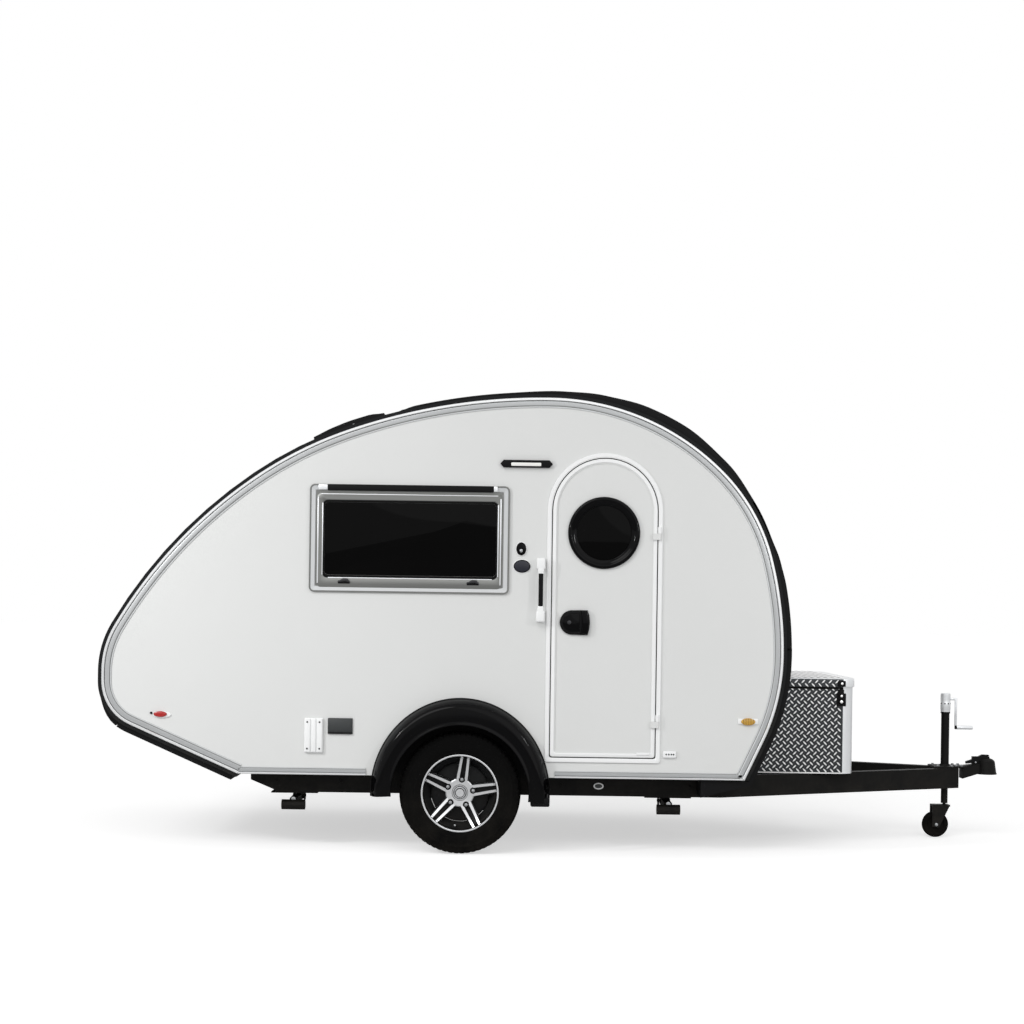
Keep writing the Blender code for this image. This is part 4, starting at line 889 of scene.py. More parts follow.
def door_line(inset):
    """Arched outline of the doorway drawn in by inset."""
    x0, x1 = DOOR_X[0] + inset, DOOR_X[1] - inset
    spring = DOOR_Z[1] - (DOOR_X[1] - DOOR_X[0]) / 2
    corner = 0.012
    z0 = DOOR_Z[0] + inset
    arch = arc((x0 + x1) / 2, spring, (x1 - x0) / 2, 0, 180, 48)
    left = arc(x0 + corner, z0 + corner, corner, 180, 270, 5)
    right = arc(x1 - corner, z0 + corner, corner, 270, 360, 5)
    return arch + left + right


def make_door_trim():
    """White bead round the doorway, border, seal and foot keep of the leaf, and the hinge plates."""
    bead = (
        (0.0, near(SEAT)), (0.0, near(0.0065)), (0.003, near(0.0090)), (0.017, near(0.0090)),
        (0.020, near(0.0065)), (0.020, near(SEAT)),
    )
    piece("doorway_bead", "trailer", [(framed(door_line, bead), "white enamel")])
    edge = (
        (0.0285, near(0.001)), (0.0285, near(0.0065)), (0.0305, near(0.0080)), (0.044, near(0.0080)),
        (0.047, near(0.0050)), (0.047, near(0.001)),
    )
    seal = (
        (0.0235, near(-0.010)),
        (0.0235, near(-0.004)),
        (0.0275, near(0.0020)),
        (0.030, near(0.0020)),
        (0.030, near(-0.010)),
    )
    parts = [
        (framed(door_line, edge), "white enamel"),
        (framed(door_line, seal), "seal rubber and painted shade"),
        (block((0.888, near(0.007), 0.511), (0.955, near(0.013), 0.524), 0.002), "white enamel"),
    ]
    piece("door_border", "door", parts)
    for name, body, x0, x1, foot, head in (
        ("door_hinge_plates", "door", 0.957, 0.9885, -0.033, -0.001),
        ("frame_hinge_plates", "trailer", 0.9805, 1.004, 0.001, 0.033),
    ):
        plates = [
            block((x0, near(0.0065), z + foot), (x1, near(0.0100), z + head), 0.002) for z in HINGE_HEIGHTS
        ]
        piece(name, body, [(plate, "white enamel") for plate in plates])


def make_porthole():
    """Round door window: rolled gloss ring and slightly domed dark pane, its darkness tint and painted shade
    of the cabin behind.
    """
    centre = (PORTHOLE[0], -WALL, PORTHOLE[1])
    ring = (
        (0.1820, SEAT),
        (0.1820, 0.0080),
        (0.1800, 0.0135),
        (0.1755, 0.0172),
        (0.1690, 0.0185),
        (0.1625, 0.0175),
        (0.1580, 0.0140),
        (0.1540, 0.0115),
        (0.1460, 0.0100),
        (0.1390, 0.0080),
        (0.1385, -0.0280),
        (0.1497, -0.0280),
        (0.1497, SEAT),
    )
    bm = turned(ring, centre, -1, 96)
    piece("porthole_ring", "door", [(bm, "gloss black")], ["door_window_ring"], smooth=50)
    pane = ((0.0, 0.0075), (0.05, 0.0068), (0.10, 0.0045), (0.1383, 0.0015), (0.1383, -0.010), (0.0, -0.010))
    bm = turned(pane, centre, -1, 96)
    piece("porthole_pane", "door", [(bm, "tinted acrylic and painted shade")], ["door_window_pane"])


GRAB_BAR_X = 0.3935


def make_handles():
    """Paddle latch of the door and the grab handle beside it."""
    nose = arc(0.554, 1.176, 0.062, 96, 264, 14)
    tail = [
        (0.600, 1.1135), (0.634, 1.113), (0.641, 1.140), (0.6445, 1.176), (0.641, 1.212), (0.632, 1.2385),
        (0.600, 1.2385),
    ]
    body = slab(nose + tail, near(SEAT), near(0.014), 0.006, 4)
    cup = arc(0.553, 1.176, 0.047, 96, 264, 12) + [(0.592, 1.131), (0.592, 1.221)]
    rim = slab(cup, near(0.012), near(0.0165), 0.003, 3)
    edge = [(0.600, 1.118), (0.632, 1.117), (0.638, 1.145), (0.640, 1.176), (0.637, 1.210), (0.630, 1.234)]
    grip = slab(edge + [(0.600, 1.235), (0.606, 1.176)], near(0.012), near(0.026), 0.005, 4)
    key = rod((0.540, near(0.015), 1.176), (0.540, near(0.0185), 1.176), 0.010, steps=24, rounding=0.001)
    parts = [(body, "satin black and painted shade"), (rim, "gloss black"), (grip, "gloss black"), (key, "dark steel")]
    piece("paddle_latch", "door", parts, ["door_handle"])
    x = GRAB_BAR_X
    bar = block((x - 0.0115, near(0.039), 1.195), (x + 0.0115, near(0.0535), 1.480), 0.0055, 4)
    parts = [(bar, "satin black and painted shade")]
    for z, towards in ((1.205, 1), (1.470, -1)):
        foot = block((x - 0.0225, near(SEAT), z - 0.029), (x + 0.0225, near(0.056), z + 0.029), 0.009, 4)
        neck = block((x - 0.0155, near(0.034), z), (x + 0.0155, near(0.0555), z + towards * 0.052), 0.006, 3)
        parts += [(foot, "white enamel"), (neck, "white enamel")]
    piece("grab_bar", "trailer", parts, ["grab_handle"])


# Small fittings on the wall


PORCH_LAMP = (0.314, 1.973)
UPPER_OVAL = (0.293, 1.544)
LOWER_OVAL = (0.298, 1.456)
RED_MARKER = (-1.517, 0.684)
AMBER_MARKER = (1.450, 0.688)
OUTLET = (-0.789, 0.502, -0.694, 0.676)
DOOR_CATCH = (1.055, 0.516)
RAIL_BADGE = (0.711, 0.331)


def make_porch_light():
    """Porch lamp: black housing with pointed ends and a pale lens."""
    x, z = PORCH_LAMP
    tips = [
        (x - 0.132, z), (x - 0.116, z + 0.019), (x + 0.116, z + 0.019), (x + 0.132, z),
        (x + 0.116, z - 0.019), (x - 0.116, z - 0.019),
    ]
    lens = rounded((0.236, z - 0.0120, 0.388, z + 0.0055), 0.005)
    parts = [
        (slab(tips, near(SEAT), near(0.020), 0.006, 4), "satin black and painted shade"),
        (slab(lens, near(0.012), near(0.0235), 0.003, 3), "white lens"),
    ]
    piece("porch_light", "trailer", parts, ["porch_lamp"])


def make_oval_covers():
    """Two oval covers between the window and the door, the upper one with a small zinc knob."""
    parts = [
        (slab(oval(*UPPER_OVAL, 0.0290, 0.0370), near(SEAT), near(0.004), 0.002), "white enamel"),
        (slab(oval(*UPPER_OVAL, 0.0255, 0.0335), near(0.003), near(0.0105), 0.005, 4), "gloss black"),
        (dome((0.293, near(0.0100), 1.534), (0.008, 0.003, 0.009), 20, 8), "zinc plate"),
        (slab(oval(*LOWER_OVAL, 0.0460, 0.0360), near(SEAT), near(0.003), 0.0015), "white enamel"),
        (slab(oval(*LOWER_OVAL, 0.0430, 0.0330), near(0.002), near(0.0050), 0.0015, 3), "gloss black"),
        (slab(oval(*LOWER_OVAL, 0.0385, 0.0285), near(0.004), near(0.0065), 0.002, 3), "badge blue"),
    ]
    piece("oval_covers", "trailer", parts)


def make_red_marker(name, side):
    """Red side marker on its white base, and the screw beside it."""
    x, z = RED_MARKER
    base, lens = oval(x + 0.008, z - 0.002, 0.046, 0.0165), oval(x, z + 0.001, 0.034, 0.0150)
    screw_x, screw_z = x - 0.047, z + 0.006
    foot, head = (screw_x, out(side, SEAT), screw_z), (screw_x, out(side, 0.006), screw_z)
    parts = [
        (slab(base, out(side, SEAT), out(side, 0.008), 0.004, 3), "white enamel"),
        (slab(lens, out(side, 0.006), out(side, 0.017), 0.007, 4), "red lens"),
        (rod(foot, head, 0.006, steps=16), "satin black and painted shade"),
    ]
    piece(name, "trailer", parts)


def make_amber_marker(name, side):
    """Amber side marker on its white base, with seven ribs on its lens."""
    x, z = AMBER_MARKER
    low, high = (x - 0.051, out(side, SEAT), z - 0.014), (x + 0.051, out(side, 0.007), z + 0.014)
    lens = oval(x, z - 0.001, 0.036, 0.0185)
    parts = [
        (block(low, high, 0.003, 3), "white enamel"),
        (slab(lens, out(side, 0.005), out(side, 0.018), 0.008, 4), "amber lens"),
    ]
    # Ribs in a darker copy of the amber lens: painted shade along each rib
    for i in range(-3, 4):
        reach = 0.0150 * math.sqrt(1 - (i / 4) ** 2)
        rib_x, rib_y = x + 0.0085 * i, out(side, 0.0168)
        rib = rod((rib_x, rib_y, z - reach), (rib_x, rib_y, z + reach), 0.0016, steps=10)
        parts.append((rib, "amber lens in painted shade"))
    piece(name, "trailer", parts)


def make_outlet_box():
    """White outlet cover with three upright panels and four screws."""
    x0, z0, x1, z1 = OUTLET
    parts = [(block((x0, near(SEAT), z0), (x1, near(0.013), z1), 0.004, 3), "white enamel")]
    for a, b in ((x0 + 0.004, x0 + 0.031), (x0 + 0.036, x0 + 0.059), (x0 + 0.064, x1 - 0.004)):
        panel = block((a, near(0.011), z0 + 0.003), (b, near(0.0195), z1 - 0.003), 0.003, 3)
        parts.append((panel, "white enamel"))
    for sx in (x0 + 0.0155, x1 - 0.0175):
        for sz in (z0 + 0.020, z1 - 0.020):
            parts.append((rod((sx, near(0.018), sz), (sx, near(0.0212), sz), 0.0045, steps=14), "dark steel"))
    piece("outlet_box", "trailer", parts, ["outlet_cover"])


def make_vent_flap():
    """Grey vent cover with a raised flap and a lip along its foot, painted black as the shadow under the
    cover.
    """
    parts = [
        (block((-0.671, near(SEAT), 0.601), (-0.546, near(0.009), 0.677), 0.003, 3), "vent grey"),
        (block((-0.664, near(0.008), 0.612), (-0.553, near(0.0125), 0.672), 0.002, 2), "vent grey"),
        # Lip at the vent's foot: a real lip, its black a painted shadow
        (block((-0.671, near(SEAT), 0.597), (-0.546, near(0.012), 0.606), 0.003, 3), "satin black and painted shade"),
    ]
    piece("vent_flap", "trailer", parts, ["vent_cover"])


def make_door_catch():
    """White catch that holds the opened door, with four grey studs."""
    x, z = DOOR_CATCH
    low, high = (x - 0.034, near(SEAT), z - 0.017), (x + 0.034, near(0.014), z + 0.017)
    parts = [(block(low, high, 0.006, 4), "white enamel")]
    for dx in (-0.017, -0.004, 0.009, 0.020):
        stud = rod((x + dx, near(0.012), z + 0.001), (x + dx, near(0.0150), z + 0.001), 0.0042, steps=12)
        parts.append((stud, "vent grey"))
    piece("door_catch", "trailer", parts)


def make_rail_badge():
    """Bare oval plate on the frame rail."""
    rail = -span("frame_rail_right")[0].y
    x, z = RAIL_BADGE
    parts = [
        (slab(oval(x, z, 0.0265, 0.0170), -rail - SEAT, -rail - 0.003, 0.001), "white enamel"),
        (slab(oval(x, z, 0.0195, 0.0110), -rail - 0.002, -rail - 0.0045, 0.001), "vent grey"),
    ]
    piece("rail_badge", "trailer", parts)


def make_wall_fittings():
    """Porch lamp, oval covers, side markers, outlet cover, vent, door catch and bare badge."""
    make_porch_light()
    make_oval_covers()
    for name, side in (("red_marker", -1), ("red_marker_left", 1)):
        make_red_marker(name, side)
    for name, side in (("amber_marker", -1), ("amber_marker_left", 1)):
        make_amber_marker(name, side)
    make_outlet_box()
    make_vent_flap()
    make_door_catch()
    make_rail_badge()


# Fenders

FENDER_TOP = 0.476
FENDER_HALF = 0.450
FENDER_OUT = 1.030
FENDER_LIP = 0.345


def fender_point(angle, depth, lip, y):
    """Point at an angle: depth in from the crown line, or from the lip when lip is true."""
    a = math.radians(angle)
    c, s = math.cos(a), math.sin(a)
    crown = 1 / math.hypot(c / FENDER_HALF, s / FENDER_TOP) if s > 0 else FENDER_HALF / abs(c)
    r = FENDER_LIP + depth if lip else crown - depth
    return (r * c, y, AXLE_Z + r * s)


def make_fenders():
    """Moulded gloss fenders with a rolled lip and a welt against the wall."""
    section = (
        # depth, measured from the lip, y
        (-0.004, False, WALL + SEAT),
        (-0.004, False, WALL + 0.005),
        (0.000, False, WALL + 0.008),
        (0.006, False, WALL + 0.030),
        (0.013, False, WALL + 0.046),
        (0.021, False, FENDER_OUT - 0.020),
        (0.027, False, FENDER_OUT - 0.012),
        (0.034, False, FENDER_OUT - 0.006),
        (0.043, False, FENDER_OUT - 0.003),
        (0.060, False, FENDER_OUT - 0.0015),
        (0.020, True, FENDER_OUT - 0.0025),
        (0.010, True, FENDER_OUT - 0.002),
        (0.006, True, FENDER_OUT + 0.0005),
        (0.002, True, FENDER_OUT),
        (0.000, True, FENDER_OUT - 0.003),
        (0.000, True, FENDER_OUT - 0.009),
        (0.006, True, FENDER_OUT - 0.0085),
        (0.050, False, FENDER_OUT - 0.009),
        (0.034, False, FENDER_OUT - 0.018),
        (0.022, False, WALL + 0.040),
        (0.010, False, WALL + SEAT),
    )
    for label, side in SIDES:
        angles = [-5.5, -2.5] + [180 * i / 72 for i in range(73)] + [182.6]
        rows = [[fender_point(a, depth, lip, side * y) for depth, lip, y in section] for a in angles]
        parts = [(swept(rows), "gloss black")]
        foot = block(
            (0.356, side * (WALL + 0.002), 0.249), (0.452, side * (FENDER_OUT - 0.012), 0.292), 0.008, 3
        )
        parts.append((foot, "satin black and painted shade"))
        piece(f"fender_shell_{label}", "trailer", parts, [f"fender_{label}"], smooth=40)


# Wheels

WHEEL_PLANE = 0.890
LUG_CIRCLE = 0.068


def tyre_shape(sizes):
    """Radial tyre with ribs, shoulder slots and sidewall rings, about the wheel plane."""
    depth = sizes.tread_depth
    r = TYRE_RADIUS
    tread = [(r, 0.0), (r, 0.014), (r - depth, 0.016), (r - depth, 0.021), (r, 0.023), (r - 0.0005, 0.039)]
    tread += [
        (r - depth, 0.041), (r - depth, 0.046), (r - 0.0008, 0.048), (r - 0.002, 0.064), (r - 0.005, 0.078)
    ]
    side = [
        (r - 0.011, 0.0862), (r - 0.021, 0.0900), (0.272, 0.0925), (0.268, 0.0945), (0.264, 0.0935),
        (0.250, 0.0950),
    ]
    side += [
        (0.236, 0.0948), (0.226, 0.0930), (0.222, 0.0935), (0.218, 0.0918), (0.209, 0.0900), (0.2035, 0.0892)
    ]
    bead = [
        (0.1985, 0.0872), (0.1985, 0.0787), (0.1782, 0.0787), (0.1782, 0.060), (0.205, 0.072), (0.245, 0.083)
    ]
    inside = [(0.284, 0.074), (0.295, 0.050), (0.295, 0.0)]
    half = tread + side + bead + inside
    loop = half + [(a, -b) for a, b in reversed(half[1:-1])]
    steps = sizes.tread_slots * 5
    bm = turned(loop, (0, 0, 0), -1, steps)
    for v in bm.verts:
        radius = math.hypot(v.co.x, v.co.z)
        turn = math.degrees(math.atan2(v.co.z, v.co.x)) / (360 / steps)
        if radius > r - 0.012 and abs(v.co.y) > 0.047 and round(turn) % 5 == 0:
            shrink = (radius - 0.0055) / radius
            v.co.x *= shrink
            v.co.z *= shrink
    return bm


def spoke_bar(axis, hand):
    """One machined bar of a spoke pair; its faces are told apart later, where the rim is put together."""
    rows = []
    # radius, sideways place, half width, face, depth
    for u, v, w, top, deep in (
        (0.060, 0.0205, 0.0085, 0.0530, 0.030),
        (0.085, 0.0203, 0.0080, 0.0560, 0.028),
        (0.115, 0.0192, 0.0076, 0.0605, 0.027),
        (0.145, 0.0180, 0.0073, 0.0665, 0.026),
        (0.168, 0.0170, 0.0070, 0.0735, 0.026),
        (0.184, 0.0165, 0.0070, 0.0810, 0.024),
    ):
        flank = v + w + 0.0065
        section = (
            (v - w, top - deep),
            (v - w, top - 0.002),
            (v - w + 0.001, top),
            (v + w - 0.001, top),
            (v + w, top - 0.002),
        )
        section += ((flank, top - 0.013), (flank, top - deep))
        rows.append([polar_point(u, hand * a, b, axis) for a, b in section])
    return swept(rows)


def polar_point(u, v, w, axis):
    """Point u out along an axis in degrees, v to its side and w outwards."""
    a = math.radians(axis)
    return (u * math.cos(a) - v * math.sin(a), -w, u * math.sin(a) + v * math.cos(a))


def face_split(bm, bright, dark, chosen=lambda face: face.normal.y <= -0.45):
    """Two shapes from one: the chosen faces, at first those that look outwards, and the rest."""
    bmesh.ops.recalc_face_normals(bm, faces=bm.faces)
    other = bm.copy()
    bm.normal_update()
    other.normal_update()
    bmesh.ops.delete(bm, geom=[f for f in bm.faces if not chosen(f)], context="FACES")
    bmesh.ops.delete(other, geom=[f for f in other.faces if chosen(f)], context="FACES")
    return [(bm, bright), (other, dark)]


def rim_parts(sizes):
    """Cast wheel with five machined spoke pairs, about the wheel plane, facing -Y."""
    lip = (
        (0.1975, 0.0788), (0.1975, 0.0848), (0.1958, 0.0874), (0.1925, 0.0882), (0.1885, 0.0872),
        (0.1868, 0.0845), (0.1868, 0.0788),
    )
    barrel = (
        (0.1777, 0.0780), (0.1777, -0.0788), (0.1975, -0.0788), (0.1975, -0.0876), (0.1900, -0.0876),
        (0.1700, -0.0700), (0.1560, -0.0450), (0.1510, -0.0100), (0.1510, 0.0150), (0.1600, 0.0330),
        (0.1710, 0.0480), (0.1750, 0.0640), (0.1815, 0.0730), (0.1866, 0.0810), (0.1880, 0.0790),
    )
    hub = (
        (0.0, 0.0450), (0.031, 0.0450), (0.034, 0.0520), (0.0670, 0.0535), (0.0720, 0.0500),
        (0.0740, 0.0430), (0.0740, 0.0200), (0.0, 0.0200),
    )
    cap = (
        (0.0, 0.0595), (0.012, 0.0600), (0.0200, 0.0600), (0.0215, 0.0625), (0.0265, 0.0630),
        (0.0300, 0.0600), (0.0310, 0.0520), (0.0310, 0.0440), (0.0, 0.0440),
    )
    drum = (
        (0.0, 0.0120), (0.138, 0.0120), (0.148, 0.0080), (0.149, 0.0), (0.149, -0.0700), (0.141, -0.0700),
        (0.141, 0.0040), (0.0, 0.0040),
    )
    cap_ring = ((0.0205, 0.0595), (0.0205, 0.0636), (0.0245, 0.0638), (0.0245, 0.0595))
    # Thin dark ring at the hub's step: painted shadow
    hub_step_shadow = ((0.0385, 0.0510), (0.0385, 0.0536), (0.0408, 0.0536), (0.0408, 0.0510))
    parts = [
        (turned(lip, (0, 0, 0), -1, 96), "machined face"),
        (turned(barrel, (0, 0, 0), -1, 96), "pocket paint and painted shade"),
        (turned(hub, (0, 0, 0), -1, 72), "machined face"),
        (turned(cap, (0, 0, 0), -1, 48), "machined face"),
        (turned(cap_ring, (0, 0, 0), -1, 48), "seal rubber and painted shade"),
        (turned(hub_step_shadow, (0, 0, 0), -1, 64), "pocket paint and painted shade"),
        (turned(drum, (0, 0, 0), -1, 64), "pocket paint and painted shade"),
    ]
    for i in range(5):
        axis = math.degrees(sizes.first_spoke) + 72 * i
        for hand in (-1, 1):
            parts += face_split(spoke_bar(axis, hand), "machined face", "pocket paint and painted shade")
        web = []
        for u, half, top in (
            (0.078, 0.016, 0.0360), (0.120, 0.015, 0.0400), (0.160, 0.014, 0.0500), (0.180, 0.014, 0.0620)
        ):
            section = ((-half, top - 0.012), (-half, top), (half, top), (half, top - 0.012))
            web.append([polar_point(u, a, b, axis) for a, b in section])
        parts.append((swept(web), "pocket paint and painted shade"))
        x, _, z = polar_point(LUG_CIRCLE, 0, 0, axis)
        # Black disc round each nut: painted shade of the recessed lug hole
        pocket = rod((x, -0.0525, z), (x, -0.0545, z), 0.0165, steps=28, rounding=0.001)
        nut = rod((x, -0.0540, z), (x, -0.0640, z), 0.0088, steps=6, rounding=0.0012)
        stud = rod((x, -0.0630, z), (x, -0.0670, z), 0.0062, 0.0045, steps=20, rounding=0.001)
        parts += [(pocket, "seal rubber and painted shade"), (nut, "zinc plate"), (stud, "zinc plate")]
    x, _, z = polar_point(0.163, 0, 0, math.degrees(sizes.first_spoke) - 36 + 216)
    stem = rod((x, -0.050, z), (x, -0.078, z), 0.0045, steps=14, rounding=0.001)
    cap = rod((x, -0.076, z), (x, -0.083, z), 0.0050, steps=14, rounding=0.001)
    parts += [(stem, "seal rubber and painted shade"), (cap, "zinc plate")]
    return parts


def make_wheels(sizes):
    """Tyres and cast wheels on both sides."""
    for label, side in SIDES:
        tyre = tyre_shape(sizes)
        rim = rim_parts(sizes)
        for bm in [tyre] + [part for part, _ in rim]:
            if side > 0:
                mirrored(bm)
            bmesh.ops.translate(bm, vec=(0, side * WHEEL_PLANE, AXLE_Z), verts=bm.verts)
        body = f"wheel_{label}"
        piece(f"tyre_tread_{label}", body, [(tyre, "tyre rubber")], [f"tyre_{label}"], smooth=30)
        piece(f"cast_rim_{label}", body, rim, [f"rim_{label}"], smooth=30)


# Chassis, coupler, jack


RAIL_FACE = 0.745
COUPLER_BELL = (2.915, 0.425)
JACK_X = 2.683
CASTER_AXLE = (2.633, 0.072)
STEADIES = (("front", 1.070), ("rear", -0.860))


def bolt(x, y, z, direction, size=0.009, finish="zinc plate"):
    """Hexagon head and washer seated on a surface, looking along direction."""
    d = Vector(direction).normalized()
    at = Vector((x, y, z))
    washer = rod(at - d * 0.0005, at + d * 0.002, size * 1.35, steps=20)
    head = rod(at + d * 0.0015, at + d * (0.002 + size * 0.8), size, steps=6, rounding=0.0008)
    return [(washer, finish), (head, finish)]


def make_chassis_details():
    """Bolts and end plates of the chassis."""
    rail_end = span("frame_rail_right")[0].x
    parts = []
    for side in (-1, 1):
        for x in (-0.95, -0.62, 0.52, 1.18):
            parts += bolt(x, side * RAIL_FACE, 0.335, (0, side, 0), 0.007, "chassis black")
        for x in (0.110, 0.200):
            parts += bolt(x, side * RAIL_FACE, 0.300, (0, side, 0), 0.007, "chassis black")
        low, high = (rail_end - 0.0005, side * 0.695, 0.345), (rail_end + 0.004, side * RAIL_FACE, 0.388)
        parts.append((block(low, high, 0.001), "chassis black"))
    piece("frame_bolts", "trailer", parts)


def make_coupler_details():
    """Bell dome, latch lever, pin, lip and bolts of the coupler."""
    x, z = COUPLER_BELL
    lip = ((0.050, 0.0), (0.0570, 0.0), (0.0575, 0.004), (0.0555, 0.008), (0.050, 0.008))
    lever = [(2.800, 0.412), (2.842, 0.416), (2.902, 0.452), (2.930, 0.455)]
    lever += [(2.925, 0.462), (2.890, 0.463), (2.836, 0.436), (2.800, 0.424)]
    parts = [
        (dome((x, 0, z - 0.004), (0.0462, 0.0462, 0.024), 36, 14), "chassis black"),
        (turned_up(lip, (x, 0, 0.3545)), "chassis black"),
        (rod((2.898, 0, 0.436), (2.898, 0, 0.458), 0.009, steps=20, rounding=0.002), "zinc plate"),
        (slab(lever, -0.0125, 0.0125, 0.002), "satin black and painted shade"),
        (rod((2.850, -0.024, 0.420), (2.850, 0.024, 0.420), 0.005, steps=16, rounding=0.001), "zinc plate"),
    ]
    for side in (-1, 1):
        for bx in (2.735, 2.765):
            parts += bolt(bx, side * 0.040, 0.4003, (0, 0, 1), 0.008)
    piece("coupler_latch", "trailer", parts)


def turned_up(profile, centre, steps=36):
    """Solid spun about the Z line through centre; profile rows are (radius, height)."""
    bm = turned(profile, (0, 0, 0), 1, steps)
    bm.transform(Matrix.Translation(centre) @ Matrix.Rotation(math.pi / 2, 4, "X"))
    return bm


def make_jack_details():
    """Head cover, crank, collar and clamp bolts of the tongue jack, and the caster's tyre and nuts."""
    x = JACK_X
    head = (
        (0.0, 0.1040), (0.0230, 0.1040), (0.0265, 0.1010), (0.0275, 0.0700), (0.0262, 0.0560),
        (0.0275, 0.0520), (0.0275, 0.0140), (0.0262, 0.0120), (0.0262, 0.0), (0.0, 0.0),
    )
    parts = [(turned_up(head, (x, 0, 0.699)), "bright sheet and painted highlight")]
    for start, end, radius in (
        ((x + 0.020, 0, 0.770), (x + 0.0650, 0, 0.770), 0.0070),
        ((x + 0.058, 0, 0.7775), (x + 0.058, 0, 0.6225), 0.0070),
        ((x + 0.0635, 0, 0.612), (x + 0.1525, 0, 0.612), 0.0108),
    ):
        parts.append((rod(start, end, radius, steps=20, rounding=0.002), "bright sheet and painted highlight"))
    for angle in (200, 250, 290, 340):
        a = math.radians(angle)
        seat, top = ((x + r * math.cos(a), r * math.sin(a), 0.745) for r in (0.026, 0.0285))
        parts.append((rod(seat, top, 0.004, steps=10), "satin black and painted shade"))
    for side in (-1, 1):
        for bx in (2.630, 2.705):
            parts += bolt(bx, side * 0.062, 0.3998, (0, 0, 1), 0.007)
    collar = ((0.0262, 0.0), (0.0310, 0.0), (0.0290, 0.005), (0.0262, 0.008))
    parts.append((turned_up(collar, (x, 0, 0.400)), "chassis black"))
    piece("jack_cap", "trailer", parts)
    x, z = CASTER_AXLE
    half = [(0.0067, 0.0200), (0.018, 0.0200), (0.022, 0.0125), (0.044, 0.0125)]
    half += [(0.050, 0.0200), (0.0640, 0.0198), (0.0695, 0.0160), (0.0720, 0.008)]
    ring = half[-1:] + [(r, -w) for r, w in reversed(half)] + half[:-1]
    tyre = turned(ring, (x, 0.0, z), -1, 64)
    piece("caster_tyre", "caster_roller", [(tyre, "tyre rubber")], ["caster_wheel"], smooth=40)
    parts = []
    for side in (-1, 1):
        nut = rod((x, side * 0.0320, z), (x, side * 0.0385, z), 0.0095, steps=6, rounding=0.001)
        parts.append((nut, "zinc plate"))
    piece("caster_nuts", "caster", parts)


def make_steady_details():
    """Bright spindle ends on the corner steadies' legs and bolts through their mounts."""
    for end, x in STEADIES:
        for label, side in SIDES:
            tip = rod((x, side * 0.768, 0.246), (x, side * 0.778, 0.246), 0.012, steps=24, rounding=0.002)
            piece(f"steady_tip_{end}_{label}", f"steady_{end}_{label}", [(tip, "zinc plate")])
            parts = []
            for dx in (-0.095, 0.095):
                for y in (0.50, 0.60):
                    parts += bolt(x + dx, side * y, 0.2734, (0, 0, -1), 0.008)
            piece(f"steady_bolts_{end}_{label}", "trailer", parts)


# Foot of the tail lamps on the outline and their ends across the trailer
TAIL_LAMP_FOOT = (-1.710, 0.662)
TAIL_LAMP_SPAN = (0.62, 0.86)
# The rear guard's upper end on the outline and where its black band has faded out
REAR_GUARD_TOP = (-1.715, 0.664)
REAR_BAND_TOP = (-1.80, 0.80)


def make_rear_guard_end():
    """Black band that fades the rear guard's upper end into the shell."""
    reach = span("rear_guard")[1].y
    marks = [(station_near(*REAR_GUARD_TOP), GUARD_HEIGHT), (station_near(*REAR_BAND_TOP), 0.0010)]
    piece("rear_guard_end", "trailer", [(raised_band(marks, -reach, reach), "satin black and painted shade")])


def make_tail_lamps():
    """Ribbed red lenses in black housings."""
    start = station_near(*TAIL_LAMP_FOOT) + 0.006
    for label, side in SIDES:
        y0, y1 = sorted((side * TAIL_LAMP_SPAN[0], side * TAIL_LAMP_SPAN[1]))
        housing = strip(start - 0.006, start + 0.096, y0 - 0.006, y1 + 0.006, SKIN, SKIN + 0.012)
        lens = strip(start + 0.002, start + 0.088, y0 + 0.002, y1 - 0.002, SKIN + 0.010, SKIN + 0.018)
        parts = [(housing, "satin black and painted shade"), (lens, "red lens")]
        for i in range(11):
            y = y0 + 0.012 + i * 0.0216
            rib = strip(start + 0.006, start + 0.084, y - 0.003, y + 0.003, SKIN + 0.017, SKIN + 0.0198)
            parts.append((rib, "red lens"))
        piece(f"tail_lens_{label}", "trailer", parts, [f"tail_lamp_{label}"])


# Tongue box

BOX_FRONT = 2.075
BOX_BACK = 1.700
BOX_KNEE = 0.780
BOX_FOOT = 1.512
BOX_HALF = 0.500
BOX_TOP = 0.898
BOX_SEAM = 0.850
BOX_BOTTOM = 0.390
BOX_CORNER = 0.060
# Width of the flat front between its rounded corners
BOX_FLAT = 2 * (BOX_HALF - BOX_CORNER)
BOX_HINGE = BOX_BACK - 0.0065
BOX_HINGE_INSET = 0.040
LATCH_X = 2.004


def lug(bm, place, tilt, sizes):
    """One lug, raised over the tread sheet, at a placing matrix."""
    shape = Matrix.Diagonal((sizes.lug_length / 2, sizes.lug_width / 2, 0.0022, 1.0))
    matrix = place @ Matrix.Rotation(math.radians(tilt), 4, "Z") @ shape
    bmesh.ops.create_cone(bm, cap_ends=True, segments=8, radius1=1.0, radius2=0.72, depth=1.0, matrix=matrix)


def tread_sheet(origin, across, up, width, height, sizes, keep=None):
    """Lugs over a flat sheet, each row leaning the other way; keep says which stay."""
    across, up = Vector(across).normalized(), Vector(up).normalized()
    normal = across.cross(up)
    turn = Matrix((across, up, normal)).transposed().to_4x4()
    bm = bmesh.new()
    pitch = sizes.lug_pitch
    columns, lines = int(width / pitch), int(height / pitch)
    first_u = (width - (columns - 1) * pitch) / 2
    first_v = (height - (lines - 1) * pitch) / 2
    for i in range(columns):
        for j in range(lines):
            u, v = first_u + i * pitch, first_v + j * pitch
            at = Vector(origin) + across * u + up * v + normal * 0.0008
            if (i + j) % 2 == 0 and (keep is None or keep(at)):
                lug(bm, Matrix.Translation(at) @ turn, 45 if j % 2 else -45, sizes)
    return bm


